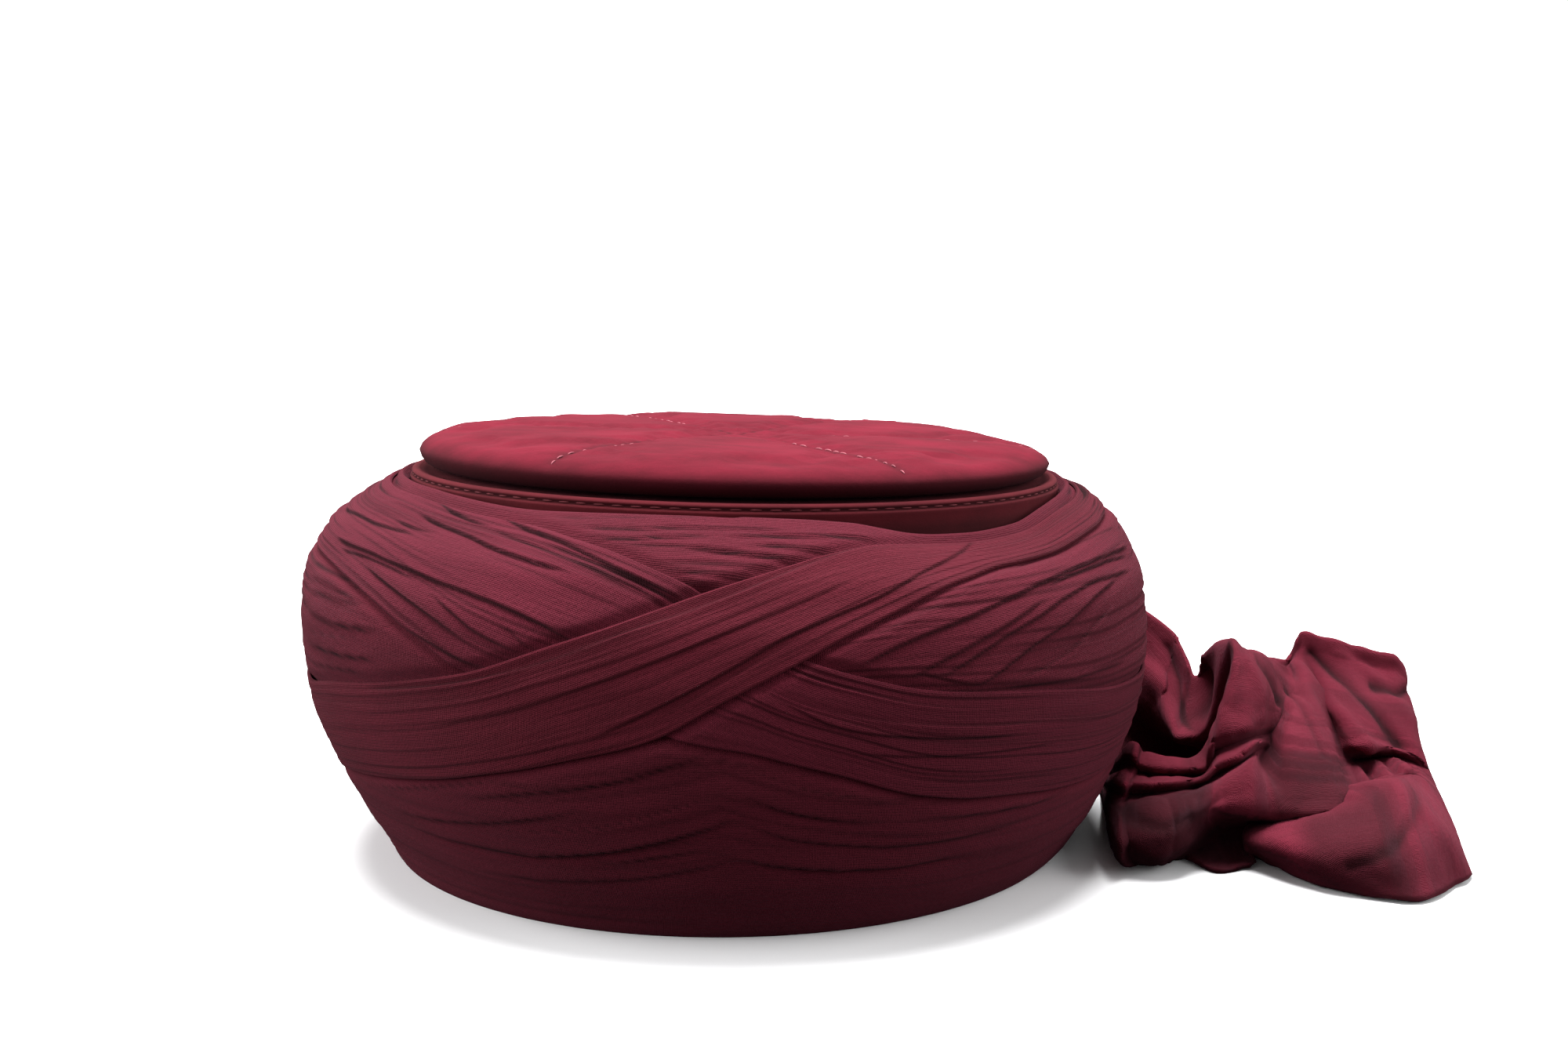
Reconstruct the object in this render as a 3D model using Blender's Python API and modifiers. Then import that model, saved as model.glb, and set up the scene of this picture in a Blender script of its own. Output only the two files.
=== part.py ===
"""Turban cap: a round cap with a quilted crown pad, ringed by wound cotton.

The cap is a thin upright wall with a flat top.  A thick ring of wound cotton
stands round it, and three broad turns of the same cloth cross over the ring,
high on one side and low on the other.  The loose end lies beside the cap.

Frame: +Z up, the front of the cap faces -Y, and the origin is the centre of
the head opening in the plane that the cap stands on.  Azimuth 0 is the front
and azimuth 90 is the right side (+X).  Metres throughout.
"""

import math

import bmesh
import bpy
import numpy as np

# Cap
HEAD_RADIUS = 0.0905
CAP_WALL = 0.0022
CAP_RADIUS = HEAD_RADIUS + CAP_WALL
CAP_HEIGHT = 0.1051
CROWN_FALL = 0.0038
PAD_INSET = 0.0027
PAD_RADIUS = CAP_RADIUS - PAD_INSET
PAD_DEPTH = 0.0098
PAD_SEAMS = 6
SEAM_DEPTH = 0.0009

# Wound ring
RING_DEPTH = 0.0281
RING_RADIUS = CAP_RADIUS + RING_DEPTH
RING_RISE = 0.0039
RING_HEIGHT = CAP_HEIGHT + RING_RISE
RING_LEAN = 0.0030
FOLD_DEPTH = 0.0012
CHEVRON_RISE = 0.0150
CHEVRON_SPAN = 18.0

# Crossing turns
TURN_THICKNESS = 0.0020
TURN_EDGE = 0.0011
EDGE_RUN = 0.0095

# Level on the cap's wall where the ring's lip meets it
LIP_LEVEL = 0.915

# Level on the pad's side where its seams run out
SEAM_LEVEL = 0.30

# Levels on the ring between which its folds stand
FOLD_LEVELS = (0.02, 0.97)

# Clearances
LAYER_GAP = 0.0015
SEAT_GAP = 0.0006

# Loose end
TAIL_REACH = 0.1000
TAIL_DEPTH = 0.1200
TAIL_HEIGHT = 0.0520
TAIL_THICKNESS = 0.0020
TAIL_AZIMUTH = 140.0

STATIONS = 48

# Height of the wound ring's rim round the cap, as a share of RING_HEIGHT.
RIM_SHARES = (
    # azimuth, rim height
    (-180.0, 0.955),
    (-135.0, 0.980),
    (-90.0, 1.000),
    (-60.0, 0.994),
    (-30.0, 0.965),
    (0.0, 0.945),
    (30.0, 0.926),
    (60.0, 0.938),
    (90.0, 0.945),
    (135.0, 0.950),
)

# Outer section of the wound ring, rim to base.
RING_SHARES = (
    # height (share of the rim), depth from the cap (share of RING_DEPTH), lean (share)
    (1.000, 0.067, 0.00),
    (0.984, 0.196, 0.00),
    (0.952, 0.385, 0.10),
    (0.917, 0.536, 0.25),
    (0.875, 0.695, 0.45),
    (0.826, 0.802, 0.65),
    (0.760, 0.923, 0.85),
    (0.688, 0.979, 1.00),
    (0.620, 1.000, 0.92),
    (0.550, 0.996, 0.82),
    (0.413, 0.927, 0.83),
    (0.275, 0.746, 0.70),
    (0.165, 0.553, 0.45),
    (0.073, 0.347, 0.42),
    (0.016, 0.218, 0.60),
    (0.000, 0.166, 0.73),
)

# Section of the cap, crown to brim.
CAP_SHARES = (
    # radius (share of the wall's outer radius), height (share of CAP_HEIGHT)
    (0.450, 1.000),
    (0.900, 1.000),
    (0.955, 0.997),
    (0.975, 0.978),
    (0.986, 0.940),
    (0.994, 0.880),
    (1.000, 0.700),
    (1.000, 0.350),
    (1.000, 0.000),
)

# Section of the crown pad, middle of the top to middle of the underside.
PAD_SHARES = (
    # radius (share of PAD_RADIUS), height (share of PAD_DEPTH)
    (0.140, 1.000),
    (0.330, 1.010),
    (0.520, 1.000),
    (0.700, 0.960),
    (0.830, 0.880),
    (0.915, 0.760),
    (0.968, 0.600),
    (0.994, 0.400),
    (1.000, 0.240),
    (0.985, 0.080),
    (0.955, 0.000),
    (0.500, 0.000),
)

# Puff of the crown pad by side, as a share of PAD_DEPTH.
PUFF_SHARES = (
    # azimuth, depth
    (-180.0, 1.00),
    (-90.0, 0.96),
    (0.0, 0.90),
    (60.0, 0.84),
    (90.0, 0.84),
    (135.0, 0.97),
)

# Edges of the three crossing turns, as shares of the rim height.
RIGHT_HIGH_LEVELS = (
    # azimuth, upper edge, lower edge
    (-150.0, 0.540, 0.450),
    (-120.0, 0.470, 0.360),
    (-90.0, 0.440, 0.330),
    (-54.0, 0.490, 0.400),
    (-33.0, 0.570, 0.470),
    (-17.0, 0.680, 0.540),
    (-5.0, 0.775, 0.600),
    (3.0, 0.820, 0.600),
    (11.0, 0.870, 0.565),
    (25.0, 0.930, 0.530),
    (41.0, 0.955, 0.485),
    (56.0, 0.960, 0.450),
    (90.0, 0.960, 0.410),
    (120.0, 0.920, 0.460),
    (150.0, 0.800, 0.520),
    (180.0, 0.660, 0.500),
)
LEFT_HIGH_LEVELS = (
    # azimuth, upper edge, lower edge
    (-150.0, 0.930, 0.700),
    (-120.0, 0.978, 0.770),
    (-90.0, 0.985, 0.800),
    (-68.0, 0.985, 0.800),
    (-54.0, 0.984, 0.785),
    (-45.0, 0.982, 0.755),
    (-37.0, 0.980, 0.705),
    (-29.0, 0.975, 0.640),
    (-17.0, 0.943, 0.580),
    (-8.0, 0.898, 0.545),
    (-1.0, 0.850, 0.520),
    (4.0, 0.790, 0.505),
    (9.0, 0.730, 0.475),
    (15.0, 0.684, 0.440),
    (24.0, 0.637, 0.380),
    (40.0, 0.595, 0.325),
    (60.0, 0.532, 0.285),
    (90.0, 0.500, 0.260),
    (120.0, 0.530, 0.290),
    (150.0, 0.640, 0.390),
    (180.0, 0.800, 0.550),
)
SASH_LEVELS = (
    # azimuth, upper edge, lower edge
    (-150.0, 0.600, 0.390),
    (-120.0, 0.510, 0.280),
    (-90.0, 0.475, 0.240),
    (-71.0, 0.478, 0.255),
    (-54.0, 0.535, 0.300),
    (-41.0, 0.582, 0.345),
    (-29.0, 0.640, 0.400),
    (-17.0, 0.731, 0.460),
    (-7.0, 0.812, 0.523),
    (1.0, 0.870, 0.612),
    (9.0, 0.915, 0.700),
    (15.0, 0.945, 0.765),
    (24.0, 0.974, 0.835),
    (31.0, 0.984, 0.885),
    (40.0, 0.985, 0.920),
    (60.0, 0.985, 0.925),
    (90.0, 0.985, 0.925),
    (120.0, 0.960, 0.890),
    (150.0, 0.870, 0.740),
    (180.0, 0.740, 0.550),
)

# Rows of the wound ring's mesh, as levels on its outer side.  Level 1 is the
# rim and level 1.05 is the lip that meets the cap.
CORE_LEVELS = (
    1.050, 1.022, 1.000, 0.984, 0.962, 0.934, 0.900, 0.862, 0.820, 0.775,
    0.725, 0.670, 0.615, 0.560, 0.505, 0.450, 0.395, 0.340, 0.285, 0.230,
    0.175, 0.120, 0.070, 0.020, 0.000,
)

# Cage of the loose end.  Each section runs from the free upper edge, through
# the valley, the hood, the lip and the hollow, to the hem on the ground.
# Across is a share of TAIL_REACH from the ring outwards, back and fore is a
# share of TAIL_DEPTH with the ring's axis at 0, and up is a share of
# TAIL_HEIGHT.
TAIL_SHARES = (
    # section, then points of (across, depth, up)
    ("strip", ((0.17, 0.55, 1.13), (0.17, 0.54, 0.98), (0.17, 0.53, 0.83),
               (0.17, 0.52, 0.69), (0.17, 0.51, 0.56), (0.16, 0.50, 0.44),
               (0.15, 0.49, 0.33), (0.14, 0.48, 0.23), (0.13, 0.46, 0.14),
               (0.12, 0.44, 0.024))),
    ("hollow", ((0.34, 0.36, 1.06), (0.33, 0.34, 0.82), (0.32, 0.30, 0.58),
                (0.29, 0.22, 0.36), (0.26, 0.10, 0.18), (0.23, -0.04, 0.14),
                (0.20, -0.17, 0.26), (0.17, -0.27, 0.36), (0.14, -0.34, 0.18),
                (0.12, -0.38, 0.024))),
    ("inside", ((0.52, 0.36, 0.70), (0.50, 0.32, 0.52), (0.48, 0.24, 0.34),
                (0.46, 0.12, 0.22), (0.42, -0.02, 0.16), (0.36, -0.14, 0.16),
                (0.31, -0.24, 0.20), (0.27, -0.33, 0.24), (0.24, -0.42, 0.14),
                (0.21, -0.47, 0.024))),
    ("mouth", ((0.60, 0.32, 0.72), (0.54, 0.24, 0.70), (0.42, 0.12, 0.96),
               (0.37, -0.03, 1.16), (0.38, -0.13, 0.88), (0.37, -0.22, 0.60),
               (0.36, -0.28, 0.36), (0.37, -0.39, 0.24), (0.36, -0.51, 0.12),
               (0.34, -0.58, 0.024))),
    ("hood", ((0.70, 0.22, 1.02), (0.64, 0.14, 0.80), (0.55, 0.04, 0.96),
              (0.52, -0.09, 1.18), (0.53, -0.21, 0.90), (0.53, -0.31, 0.58),
              (0.49, -0.25, 0.24), (0.51, -0.38, 0.20), (0.53, -0.52, 0.14),
              (0.53, -0.63, 0.024))),
    ("ridge", ((0.84, 0.19, 0.90), (0.79, 0.08, 0.72), (0.74, -0.04, 0.74),
               (0.70, -0.18, 0.92), (0.72, -0.30, 0.68), (0.70, -0.34, 0.36),
               (0.66, -0.24, 0.16), (0.70, -0.39, 0.24), (0.72, -0.55, 0.16),
               (0.72, -0.68, 0.024))),
    ("pleats", ((0.97, 0.18, 0.82), (0.94, 0.07, 0.62), (0.90, -0.05, 0.46),
                (0.86, -0.15, 0.50), (0.86, -0.22, 0.38), (0.85, -0.25, 0.24),
                (0.84, -0.27, 0.18), (0.87, -0.38, 0.44), (0.90, -0.54, 0.26),
                (0.90, -0.68, 0.024))),
    ("side", ((1.04, 0.17, 0.66), (1.03, 0.07, 0.54), (1.00, -0.03, 0.44),
              (0.97, -0.11, 0.40), (0.96, -0.17, 0.36), (0.96, -0.22, 0.34),
              (0.97, -0.28, 0.38), (1.00, -0.36, 0.40), (1.03, -0.46, 0.22),
              (1.04, -0.52, 0.024))),
    ("end", ((1.07, 0.16, 0.30), (1.07, 0.08, 0.26), (1.07, 0.00, 0.22),
             (1.07, -0.06, 0.18), (1.07, -0.12, 0.15), (1.08, -0.17, 0.12),
             (1.08, -0.22, 0.10), (1.09, -0.27, 0.08), (1.09, -0.32, 0.06),
             (1.09, -0.37, 0.024))),
)

# Materials
FINISH_ROWS = (
    # name, colour, roughness
    ("crimson_suede", (0.300, 0.014, 0.040), 0.90),
    ("crimson_wall", (0.240, 0.012, 0.032), 0.90),
    ("burgundy_inner", (0.105, 0.016, 0.034), 0.85),
    ("burgundy_right", (0.125, 0.018, 0.040), 0.85),
    ("burgundy_left", (0.135, 0.020, 0.043), 0.85),
    ("burgundy_sash", (0.130, 0.017, 0.036), 0.85),
    ("burgundy_tail", (0.120, 0.015, 0.032), 0.85),
)


def smooth(knots, values, at):
    """Return a smooth curve through the knots that never overshoots them."""
    knots = np.asarray(knots, float)
    values = np.asarray(values, float)
    at = np.clip(np.asarray(at, float), knots[0], knots[-1])
    run = np.diff(knots)
    slope = np.diff(values) / run
    before, after = slope[:-1], slope[1:]
    same = before * after > 0.0
    total = np.where(same, before + after, 1.0)
    tangent = np.empty_like(values)
    tangent[1:-1] = np.where(same, 2.0 * before * after / total, 0.0)
    tangent[0] = slope[0]
    tangent[-1] = slope[-1]
    cell = np.clip(np.searchsorted(knots, at, side="right") - 1, 0, len(run) - 1)
    u = (at - knots[cell]) / run[cell]
    rise = u * u * (3.0 - 2.0 * u)
    start = u * (1.0 - u) ** 2 * run[cell] * tangent[cell]
    end = u * u * (u - 1.0) * run[cell] * tangent[cell + 1]
    return values[cell] * (1.0 - rise) + values[cell + 1] * rise + start + end


def around(rows, column, azimuth):
    """Read one column of a table of azimuths as a smooth closed curve."""
    turns = [(row[0] + shift, row[column]) for shift in (-360.0, 0.0, 360.0)
             for row in rows]
    turns.sort()
    return smooth([turn[0] for turn in turns], [turn[1] for turn in turns], azimuth)


def wall_radius(height):
    """Outer radius of the cap's wall at a height above the ground."""
    rows = CAP_SHARES[::-1]
    levels = [row[1] for row in rows[:-1]]
    shares = [row[0] for row in rows[:-1]]
    return CAP_RADIUS * smooth(levels, shares, height / CAP_HEIGHT)


def crown_drop(x):
    """Fall of the cap's crown towards the right at a distance from its axis."""
    return CROWN_FALL * x / (2.0 * PAD_RADIUS)


class Meridian:
    """Outer section of the wound ring at one azimuth, lip to base."""

    def __init__(self, azimuth):
        self.azimuth = azimuth
        self.sine = math.sin(math.radians(azimuth))
        self.cosine = math.cos(math.radians(azimuth))
        rim = RING_HEIGHT * float(around(RIM_SHARES, 1, azimuth))
        height = [row[0] * rim for row in RING_SHARES]
        lean = [-RING_LEAN * row[2] for row in RING_SHARES]
        radius = [CAP_RADIUS + row[1] * RING_DEPTH for row in RING_SHARES]
        seat = min(LIP_LEVEL * CAP_HEIGHT, 0.962 * rim)
        wall = float(wall_radius(seat))
        lip = [(wall + SEAT_GAP, seat), (wall + 2.0 * SEAT_GAP, 0.985 * rim)]
        radius = [lip[0][0], lip[1][0]] + radius
        height = [lip[0][1], lip[1][1]] + height
        lean = [0.0, 0.0] + lean
        steps = np.hypot(np.diff(radius), np.diff(height))
        length = np.concatenate([[0.0], np.cumsum(steps)])
        self.length = float(length[-1])
        self.s = np.linspace(0.0, 1.0, 241)
        self.radius = smooth(length / self.length, radius, self.s)
        self.height = smooth(length / self.length, height, self.s)
        self.lean = smooth(length / self.length, lean, self.s)
        self.rim_s = float(length[2] / self.length)
        along_r = np.gradient(self.radius)
        along_z = np.gradient(self.height)
        size = np.hypot(along_r, along_z)
        self.normal_r = -along_z / size
        self.normal_z = along_r / size

    def at_level(self, level):
        """Place of a level on the section, 0 at the lip and 1 at the base."""
        if level >= 1.0:
            return self.rim_s * (1.0 - (level - 1.0) / 0.05)
        outer = self.s >= self.rim_s
        share = self.height[outer] / self.height[outer].max()
        return float(np.interp(-level, -share, self.s[outer]))

    def point(self, s, lift):
        """Point at a place on the section, lifted along its normal."""
        radius = float(np.interp(s, self.s, self.radius))
        radius += lift * float(np.interp(s, self.s, self.normal_r))
        height = float(np.interp(s, self.s, self.height))
        height += lift * float(np.interp(s, self.s, self.normal_z))
        lean = float(np.interp(s, self.s, self.lean))
        return (lean + radius * self.sine, -radius * self.cosine, max(height, 0.0))


def turn_edges(rows, meridian):
    """Places of a turn's upper and lower edges on one section."""
    upper = float(around(rows, 1, meridian.azimuth))
    lower = float(around(rows, 2, meridian.azimuth))
    return meridian.at_level(upper), meridian.at_level(lower)


def ease(share):
    """Smooth step from 0 to 1."""
    share = min(max(share, 0.0), 1.0)
    return share * share * (3.0 - 2.0 * share)


def recess(rows, meridian, s):
    """Depth that a turn presses the cloth below it into the ring."""
    upper, lower = turn_edges(rows, meridian)
    inside = min(s - upper, lower - s) * meridian.length
    shallow = TURN_EDGE + LAYER_GAP
    if inside < 0.0:
        return shallow * ease(1.0 + inside / EDGE_RUN)
    return shallow + (TURN_THICKNESS - TURN_EDGE) * ease(inside / EDGE_RUN)


def surface(meridian, s, above):
    """Height of the cloth below the turns in above, from the ring's outline."""
    return -sum(recess(rows, meridian, s) for rows in above)


def fold_level(level, azimuth):
    """Level of a lower fold, which rises to a point at the front and back."""
    span = min(abs(azimuth - 1.0), abs(abs(azimuth) - 180.0))
    share = ease(level / 0.25) * ease((0.52 - level) / 0.20)
    rise = CHEVRON_RISE / RING_HEIGHT * math.exp(-span / CHEVRON_SPAN)
    return level + share * rise


def loft(name, rings, poles):
    """Make a closed mesh from rings of points.

    With poles, the first and last rings close at those two points.  Without,
    the last ring joins the first.
    """
    bm = bmesh.new()
    rows = [[bm.verts.new(point) for point in ring] for ring in rings]
    count = len(rows[0])
    pairs = list(zip(rows[:-1], rows[1:]))
    if poles is None:
        pairs.append((rows[-1], rows[0]))
    for first, second in pairs:
        for i in range(count):
            j = (i + 1) % count
            bm.faces.new((first[i], first[j], second[j], second[i]))
    if poles is not None:
        for ring, pole in ((rows[0], poles[0]), (rows[-1], poles[1])):
            tip = bm.verts.new(pole)
            for i in range(count):
                j = (i + 1) % count
                bm.faces.new((ring[i], ring[j], tip))
    bmesh.ops.recalc_face_normals(bm, faces=bm.faces)
    mesh = bpy.data.meshes.new(name)
    bm.to_mesh(mesh)
    bm.free()
    mesh.shade_smooth()
    return bpy.data.objects.new(name, mesh)


def azimuths():
    """Azimuths of the sections, the same for every wound piece."""
    return [360.0 * i / STATIONS - 180.0 for i in range(STATIONS)]


def make_cap_wall():
    """Thin upright wall with a flat top, open below for the head."""
    rings = []
    for share, level in CAP_SHARES:
        rings.append(cap_ring(CAP_RADIUS * share, CAP_HEIGHT * level))
    for share, level in CAP_SHARES[::-1]:
        radius = CAP_RADIUS * share - CAP_WALL
        height = min(CAP_HEIGHT * level, CAP_HEIGHT - CAP_WALL)
        rings.append(cap_ring(radius, height))
    top = (0.0, 0.0, CAP_HEIGHT)
    under = (0.0, 0.0, CAP_HEIGHT - CAP_WALL)
    return loft("cap_wall", rings, (top, under))


def cap_ring(radius, height):
    """Ring of points on the cap, which falls a little to the right."""
    ring = []
    for azimuth in azimuths():
        angle = math.radians(azimuth)
        x = radius * math.sin(angle)
        fall = crown_drop(x) * height / CAP_HEIGHT
        ring.append((x, -radius * math.cos(angle), height - fall))
    return ring


def make_crown_pad():
    """Padded round top, quilted in sectors by seams that meet in the middle."""
    base = CAP_HEIGHT + SEAT_GAP
    rings = []
    for share, level in PAD_SHARES:
        ring = []
        radius = PAD_RADIUS * share
        for azimuth in azimuths():
            angle = math.radians(azimuth)
            x = radius * math.sin(angle)
            puff = float(around(PUFF_SHARES, 1, azimuth))
            puff = 1.0 + (puff - 1.0) * share
            phase = 0.5 * PAD_SEAMS * (angle - math.pi / PAD_SEAMS)
            valley = SEAM_DEPTH * (1.0 - abs(math.sin(phase)))
            valley *= ease((level - SEAM_LEVEL) / (1.0 - SEAM_LEVEL))
            height = PAD_DEPTH * level * puff - valley
            ring.append((x, -radius * math.cos(angle), base + height - crown_drop(x)))
        rings.append(ring)
    top = (0.0, 0.0, base + PAD_DEPTH - SEAM_DEPTH)
    return loft("crown_pad", rings, (top, (0.0, 0.0, base)))


def make_wound_core(turns):
    """Thick ring of cotton wound round the cap, under the crossing turns."""
    sections = [Meridian(azimuth) for azimuth in azimuths()]
    rings = []
    for row, level in enumerate(CORE_LEVELS):
        ring = []
        for section in sections:
            s = section.at_level(fold_level(level, section.azimuth))
            sunk = surface(section, s, turns)
            covered = min(-sunk / (TURN_EDGE + LAYER_GAP), 1.0)
            fold = FOLD_DEPTH * (0.5 if row % 2 else -0.5) * (1.0 - covered)
            if not FOLD_LEVELS[0] <= level <= FOLD_LEVELS[1]:
                fold = 0.0
            ring.append(section.point(s, sunk + fold - SEAT_GAP * covered))
        rings.append(ring)
    for share in (0.0, 0.45, 0.82):
        ring = []
        for section in sections:
            height = share * LIP_LEVEL * CAP_HEIGHT
            radius = float(wall_radius(height)) + SEAT_GAP
            ring.append((radius * section.sine, -radius * section.cosine, height))
        rings.append(ring)
    return loft("wound_core", rings, None)


def make_turn(name, rows, above, folds):
    """Broad turn of cloth that crosses over the ring, high on one side."""
    sections = [Meridian(azimuth) for azimuth in azimuths()]
    outer_rows = 2 * folds + 3
    outer = [0.0] + [(i + 0.5) / (outer_rows - 2) for i in range(outer_rows - 2)] + [1.0]
    inner = [1.0 - i / (outer_rows - 3) for i in range(outer_rows - 2)]
    rings = []
    for row, share in enumerate(outer):
        ring = []
        for section in sections:
            upper, lower = turn_edges(rows, section)
            s = upper + share * (lower - upper)
            ends = ease(min(s - upper, lower - s) * section.length / EDGE_RUN)
            sunk = surface(section, s, above)
            free = 1.0 - min(-sunk / (TURN_EDGE + LAYER_GAP), 1.0)
            fold = FOLD_DEPTH * (0.5 if row % 2 else -0.5) * ends * free
            ring.append(section.point(s, sunk + fold))
        rings.append(ring)
    for share in inner:
        ring = []
        for section in sections:
            upper, lower = turn_edges(rows, section)
            s = upper + share * (lower - upper)
            depth = recess(rows, section, s) - LAYER_GAP
            ring.append(section.point(s, surface(section, s, above) - depth))
        rings.append(ring)
    return loft(name, rings, None)


def make_tail():
    """Loose end of the cloth, off the ring's back and heaped at its right."""
    start = Meridian(TAIL_AZIMUTH)
    count = len(TAIL_SHARES[0][1])
    first = []
    for i in range(count):
        level = 0.74 - 0.36 * i / (count - 1)
        lift = 1.4 * SEAT_GAP + 0.5 * TAIL_THICKNESS
        first.append(start.point(start.at_level(level), lift))
    columns = [first]
    for _, points in TAIL_SHARES:
        column = []
        for across, depth, up in points:
            x = RING_RADIUS - 0.22 * TAIL_REACH + across * TAIL_REACH
            column.append((x, depth * TAIL_DEPTH, up * TAIL_HEIGHT))
        columns.append(column)
    bm = bmesh.new()
    grid = [[bm.verts.new(point) for point in column] for column in columns]
    for near, far in zip(grid[:-1], grid[1:]):
        for i in range(count - 1):
            bm.faces.new((near[i], far[i], far[i + 1], near[i + 1]))
    mesh = bpy.data.meshes.new("tail_cloth")
    bm.to_mesh(mesh)
    bm.free()
    mesh.shade_smooth()
    tail = bpy.data.objects.new("tail_cloth", mesh)
    soft = tail.modifiers.new("soft", "SUBSURF")
    soft.levels = 1
    soft.render_levels = 1
    soft.boundary_smooth = "PRESERVE_CORNERS"
    thick = tail.modifiers.new("thick", "SOLIDIFY")
    thick.thickness = TAIL_THICKNESS
    thick.offset = 0.0
    return tail


def finish(obj, row):
    """Give a piece its own material."""
    name, colour, roughness = row
    material = bpy.data.materials.new(name)
    material.use_nodes = True
    shader = material.node_tree.nodes["Principled BSDF"]
    shader.inputs["Base Color"].default_value = (*colour, 1.0)
    shader.inputs["Roughness"].default_value = roughness
    shader.inputs["Metallic"].default_value = 0.0
    material.diffuse_color = (*colour, 1.0)
    obj.data.materials.append(material)


def build():
    """Build every piece into one collection."""
    for obj in list(bpy.data.objects):
        bpy.data.objects.remove(obj, do_unlink=True)
    home = bpy.data.collections.new("turban_cap")
    bpy.context.scene.collection.children.link(home)
    pieces = [
        make_crown_pad(),
        make_cap_wall(),
        make_wound_core((SASH_LEVELS, LEFT_HIGH_LEVELS, RIGHT_HIGH_LEVELS)),
        make_turn("right_high_turn", RIGHT_HIGH_LEVELS, (SASH_LEVELS, LEFT_HIGH_LEVELS), 4),
        make_turn("left_high_turn", LEFT_HIGH_LEVELS, (SASH_LEVELS,), 3),
        make_turn("front_sash", SASH_LEVELS, (), 3),
        make_tail(),
    ]
    for piece, row in zip(pieces, FINISH_ROWS):
        home.objects.link(piece)
        finish(piece, row)


build()
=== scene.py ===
"""Dressed turban cap: quilted suede crown, wound cotton ring and loose end.

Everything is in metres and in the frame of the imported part: +Z up, the front
of the cap faces -Y, azimuth 0 is the front and azimuth 90 the right (+X).
"""

import logging
import math
from dataclasses import dataclass, field
from enum import Enum

import bmesh
import bpy
import numpy as np
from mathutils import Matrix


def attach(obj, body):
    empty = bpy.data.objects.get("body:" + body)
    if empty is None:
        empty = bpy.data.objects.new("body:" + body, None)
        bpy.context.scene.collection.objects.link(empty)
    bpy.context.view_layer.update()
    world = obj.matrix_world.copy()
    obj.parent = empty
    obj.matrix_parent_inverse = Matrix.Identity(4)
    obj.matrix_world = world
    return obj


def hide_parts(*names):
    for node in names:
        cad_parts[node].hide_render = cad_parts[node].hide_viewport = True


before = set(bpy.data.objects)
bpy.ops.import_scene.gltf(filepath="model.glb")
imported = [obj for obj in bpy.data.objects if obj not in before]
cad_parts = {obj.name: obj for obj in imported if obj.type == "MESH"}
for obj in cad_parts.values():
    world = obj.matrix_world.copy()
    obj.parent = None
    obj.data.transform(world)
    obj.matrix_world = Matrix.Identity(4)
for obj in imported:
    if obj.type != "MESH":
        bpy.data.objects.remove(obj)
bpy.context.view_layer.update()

Array = np.ndarray
Rows = tuple[tuple[float, ...], ...]
Colour = tuple[float, float, float]

log = logging.getLogger("turban_cap")
MM = 0.001
BODY = "root"

# Cap
HEAD_RADIUS = 0.0905
CAP_WALL = 0.0022
CAP_RADIUS = HEAD_RADIUS + CAP_WALL
CAP_HEIGHT = 0.1051
CROWN_FALL = 0.0038
PAD_RADIUS = 0.0900
PAD_DEPTH = 0.0098
PAD_SEAMS = 6
SEAT_GAP = 0.0006

# Wound ring
RING_DEPTH = 0.0281
RING_RADIUS = CAP_RADIUS + RING_DEPTH
RING_HEIGHT = 0.1090
RING_LEAN = 0.0030
CHEVRON_RISE = 0.0150
CHEVRON_SPAN = 18.0
LIP_LEVEL = 0.982
FRONT_POINT = 1.0

RIM_SHARES: Rows = (
    # azimuth, rim height (share of RING_HEIGHT)
    (-180.0, 0.955),
    (-135.0, 0.980),
    (-90.0, 1.000),
    (-60.0, 0.994),
    (-30.0, 0.965),
    (0.0, 0.945),
    (30.0, 0.926),
    (60.0, 0.938),
    (90.0, 0.945),
    (135.0, 0.950),
)
RIM_DIPS: Rows = (
    # azimuth, how far the dressed rim lies below the rim height (millimetres)
    (-180.0, 1.0),
    (-135.0, 2.0),
    (-90.0, 2.8),
    (-54.0, 2.9),
    (-37.0, 2.7),
    (-30.0, 2.4),
    (-14.0, 0.9),
    (0.0, 0.3),
    (10.0, 0.4),
    (18.0, 1.0),
    (23.0, 2.3),
    (28.0, 3.8),
    (34.0, 4.8),
    (42.0, 5.4),
    (50.0, 5.2),
    (60.0, 2.8),
    (66.0, 1.8),
    (90.0, 0.6),
    (135.0, 0.5),
)
RING_SHARES: Rows = (
    # height (share of the rim), depth from the cap (share of RING_DEPTH), lean (share)
    (1.000, 0.067, 0.00),
    (0.984, 0.196, 0.00),
    (0.952, 0.385, 0.10),
    (0.917, 0.536, 0.25),
    (0.875, 0.695, 0.45),
    (0.826, 0.802, 0.65),
    (0.760, 0.923, 0.85),
    (0.688, 0.979, 1.00),
    (0.620, 1.000, 0.92),
    (0.550, 0.996, 0.82),
    (0.413, 0.927, 0.83),
    (0.275, 0.746, 0.70),
    (0.165, 0.553, 0.45),
    (0.073, 0.347, 0.42),
    (0.016, 0.218, 0.60),
    (0.000, 0.166, 0.73),
)
CAP_SHARES: Rows = (
    # radius (share of CAP_RADIUS), height (share of CAP_HEIGHT)
    (0.100, 1.000),
    (0.900, 1.000),
    (0.950, 0.997),
    (0.966, 0.999),
    (0.974, 1.002),
    (0.984, 1.003),
    (0.993, 0.999),
    (0.997, 0.993),
    (0.996, 0.987),
    (1.000, 0.980),
    (1.000, 0.900),
    (1.000, 0.700),
    (1.000, 0.350),
    (1.000, 0.000),
)
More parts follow.
